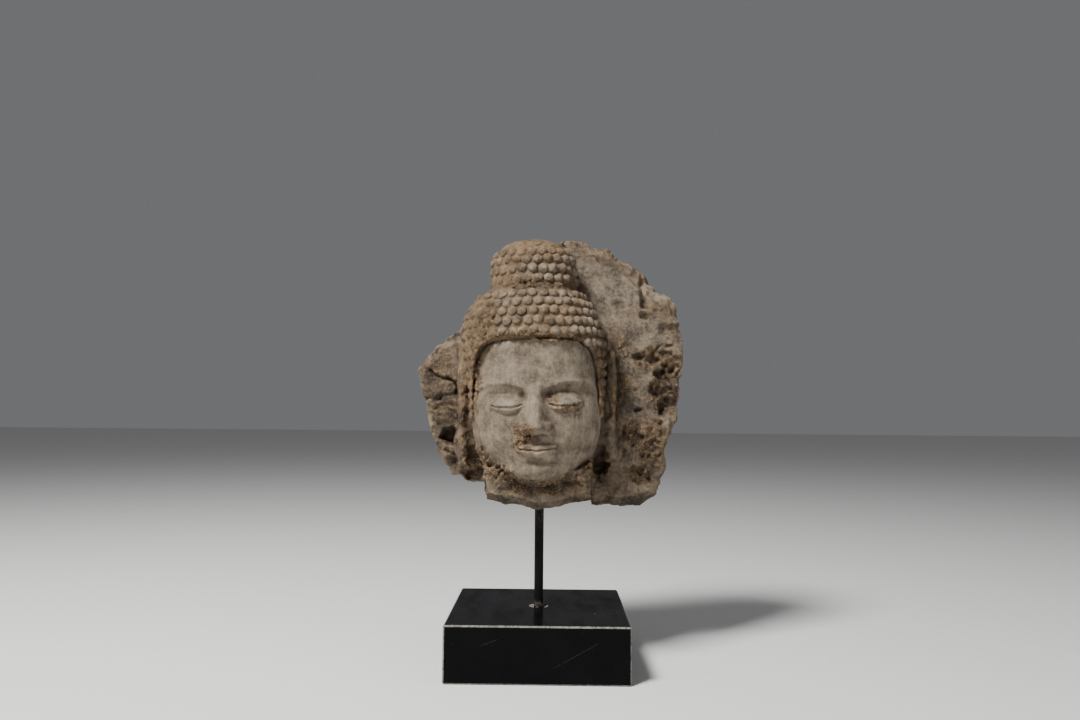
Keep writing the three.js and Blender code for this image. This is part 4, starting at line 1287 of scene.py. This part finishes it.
# Lights: place, size and power. The camera's yaw, pitch and roll are in degrees, its lens in mm.
LIGHTS = {"key": ((-0.68, -0.78, 1.5), 0.4, 60), "fill": ((1.4, -1.2, 0.7), 1.2, 5)}
LIGHTS_AIM = (0, 0, 0.24)
FLOOR_REACH = 12.0
FLOOR_COLOUR = (0.78, 0.77, 0.75, 1)
SKY_COLOUR = (0.95, 0.96, 1, 1)
SKY_STRENGTH = 0.17
CAMERA_PLACE = (0.0081, -0.7666, 0.2106)
CAMERA_TURNS = (0.65, 3.84, 0.51)
CAMERA_LENS = 28.64


class STONE_OT_stage(bpy.types.Operator):
    """Sets the pale floor, the soft lights and the camera"""

    bl_idname = "stone_head.stage"
    bl_label = "Set the stage"

    def execute(self, context):
        corners = FLOOR_REACH * np.array([(-1, -1, 0), (1, -1, 0), (1, 1, 0), (-1, 1, 0)])
        floor = place_in_scene(mesh_from_arrays("floor", corners, np.array([(0, 1, 2, 3)])), "floor")
        finish = Finish("pale_floor")
        finish.shader.inputs["Base Color"].default_value = FLOOR_COLOUR
        finish.shader.inputs["Roughness"].default_value = 0.9
        floor.data.materials.append(finish.material)
        world = bpy.data.worlds.new("studio")
        world.use_nodes = True
        world.node_tree.nodes["Background"].inputs["Color"].default_value = SKY_COLOUR
        world.node_tree.nodes["Background"].inputs["Strength"].default_value = SKY_STRENGTH
        context.scene.world = world
        for name, (place, size, power) in LIGHTS.items():
            light = bpy.data.lights.new(name, "AREA")
            light.energy = power
            light.size = size
            lamp = bpy.data.objects.new(name, light)
            lamp.location = place
            aim = Vector(LIGHTS_AIM) - lamp.location
            lamp.rotation_euler = aim.to_track_quat("-Z", "Y").to_euler()
            context.scene.collection.objects.link(lamp)
        camera = bpy.data.cameras.new("camera")
        camera.lens = CAMERA_LENS
        camera.sensor_width = 36
        camera.clip_start = 0.01
        view = bpy.data.objects.new("camera", camera)
        yaw, pitch, roll = (math.radians(angle) for angle in CAMERA_TURNS)
        level = math.cos(pitch)
        forward = Vector((-math.sin(yaw) * level, math.cos(yaw) * level, math.sin(pitch)))
        right = Vector((math.cos(yaw), math.sin(yaw), 0))
        up = right.cross(forward)
        turned_right = right * math.cos(roll) + up * math.sin(roll)
        turned_up = up * math.cos(roll) - right * math.sin(roll)
        turn = Matrix((turned_right, turned_up, -forward)).transposed().to_4x4()
        view.matrix_world = Matrix.Translation(CAMERA_PLACE) @ turn
        context.scene.collection.objects.link(view)
        context.scene.camera = view
        return {"FINISHED"}


class STONE_PT_panel(bpy.types.Panel):
    bl_label = "Stone head"
    bl_idname = "STONE_PT_panel"
    bl_space_type = "VIEW_3D"
    bl_region_type = "UI"
    bl_category = "Stone head"

    def draw(self, context):
        scene = context.scene
        for group in (scene.carving, scene.hair, scene.stone_finish, scene.stand_finish):
            column = self.layout.column()
            for name in type(group).__annotations__:
                column.prop(group, name)
        for name in STEPS:
            self.layout.operator("stone_head." + name)


STEPS = ("curls", "carve", "stand", "stage")
GROUPS = {"carving": CarvingSettings, "hair": HairSettings, "stone_finish": StoneFinish,
          "stand_finish": StandFinish}
CLASSES = (*GROUPS.values(), STONE_OT_curls, STONE_OT_carve, STONE_OT_stand, STONE_OT_stage,
           STONE_PT_panel)


def register():
    for item in CLASSES:
        bpy.utils.register_class(item)
    for name, group in GROUPS.items():
        setattr(bpy.types.Scene, name, PointerProperty(type=group))


def unregister():
    for name in GROUPS:
        delattr(bpy.types.Scene, name)
    for item in reversed(CLASSES):
        bpy.utils.unregister_class(item)


def main():
    register()
    for name in STEPS:
        getattr(bpy.ops.stone_head, name)()


if __name__ == "__main__":
    main()
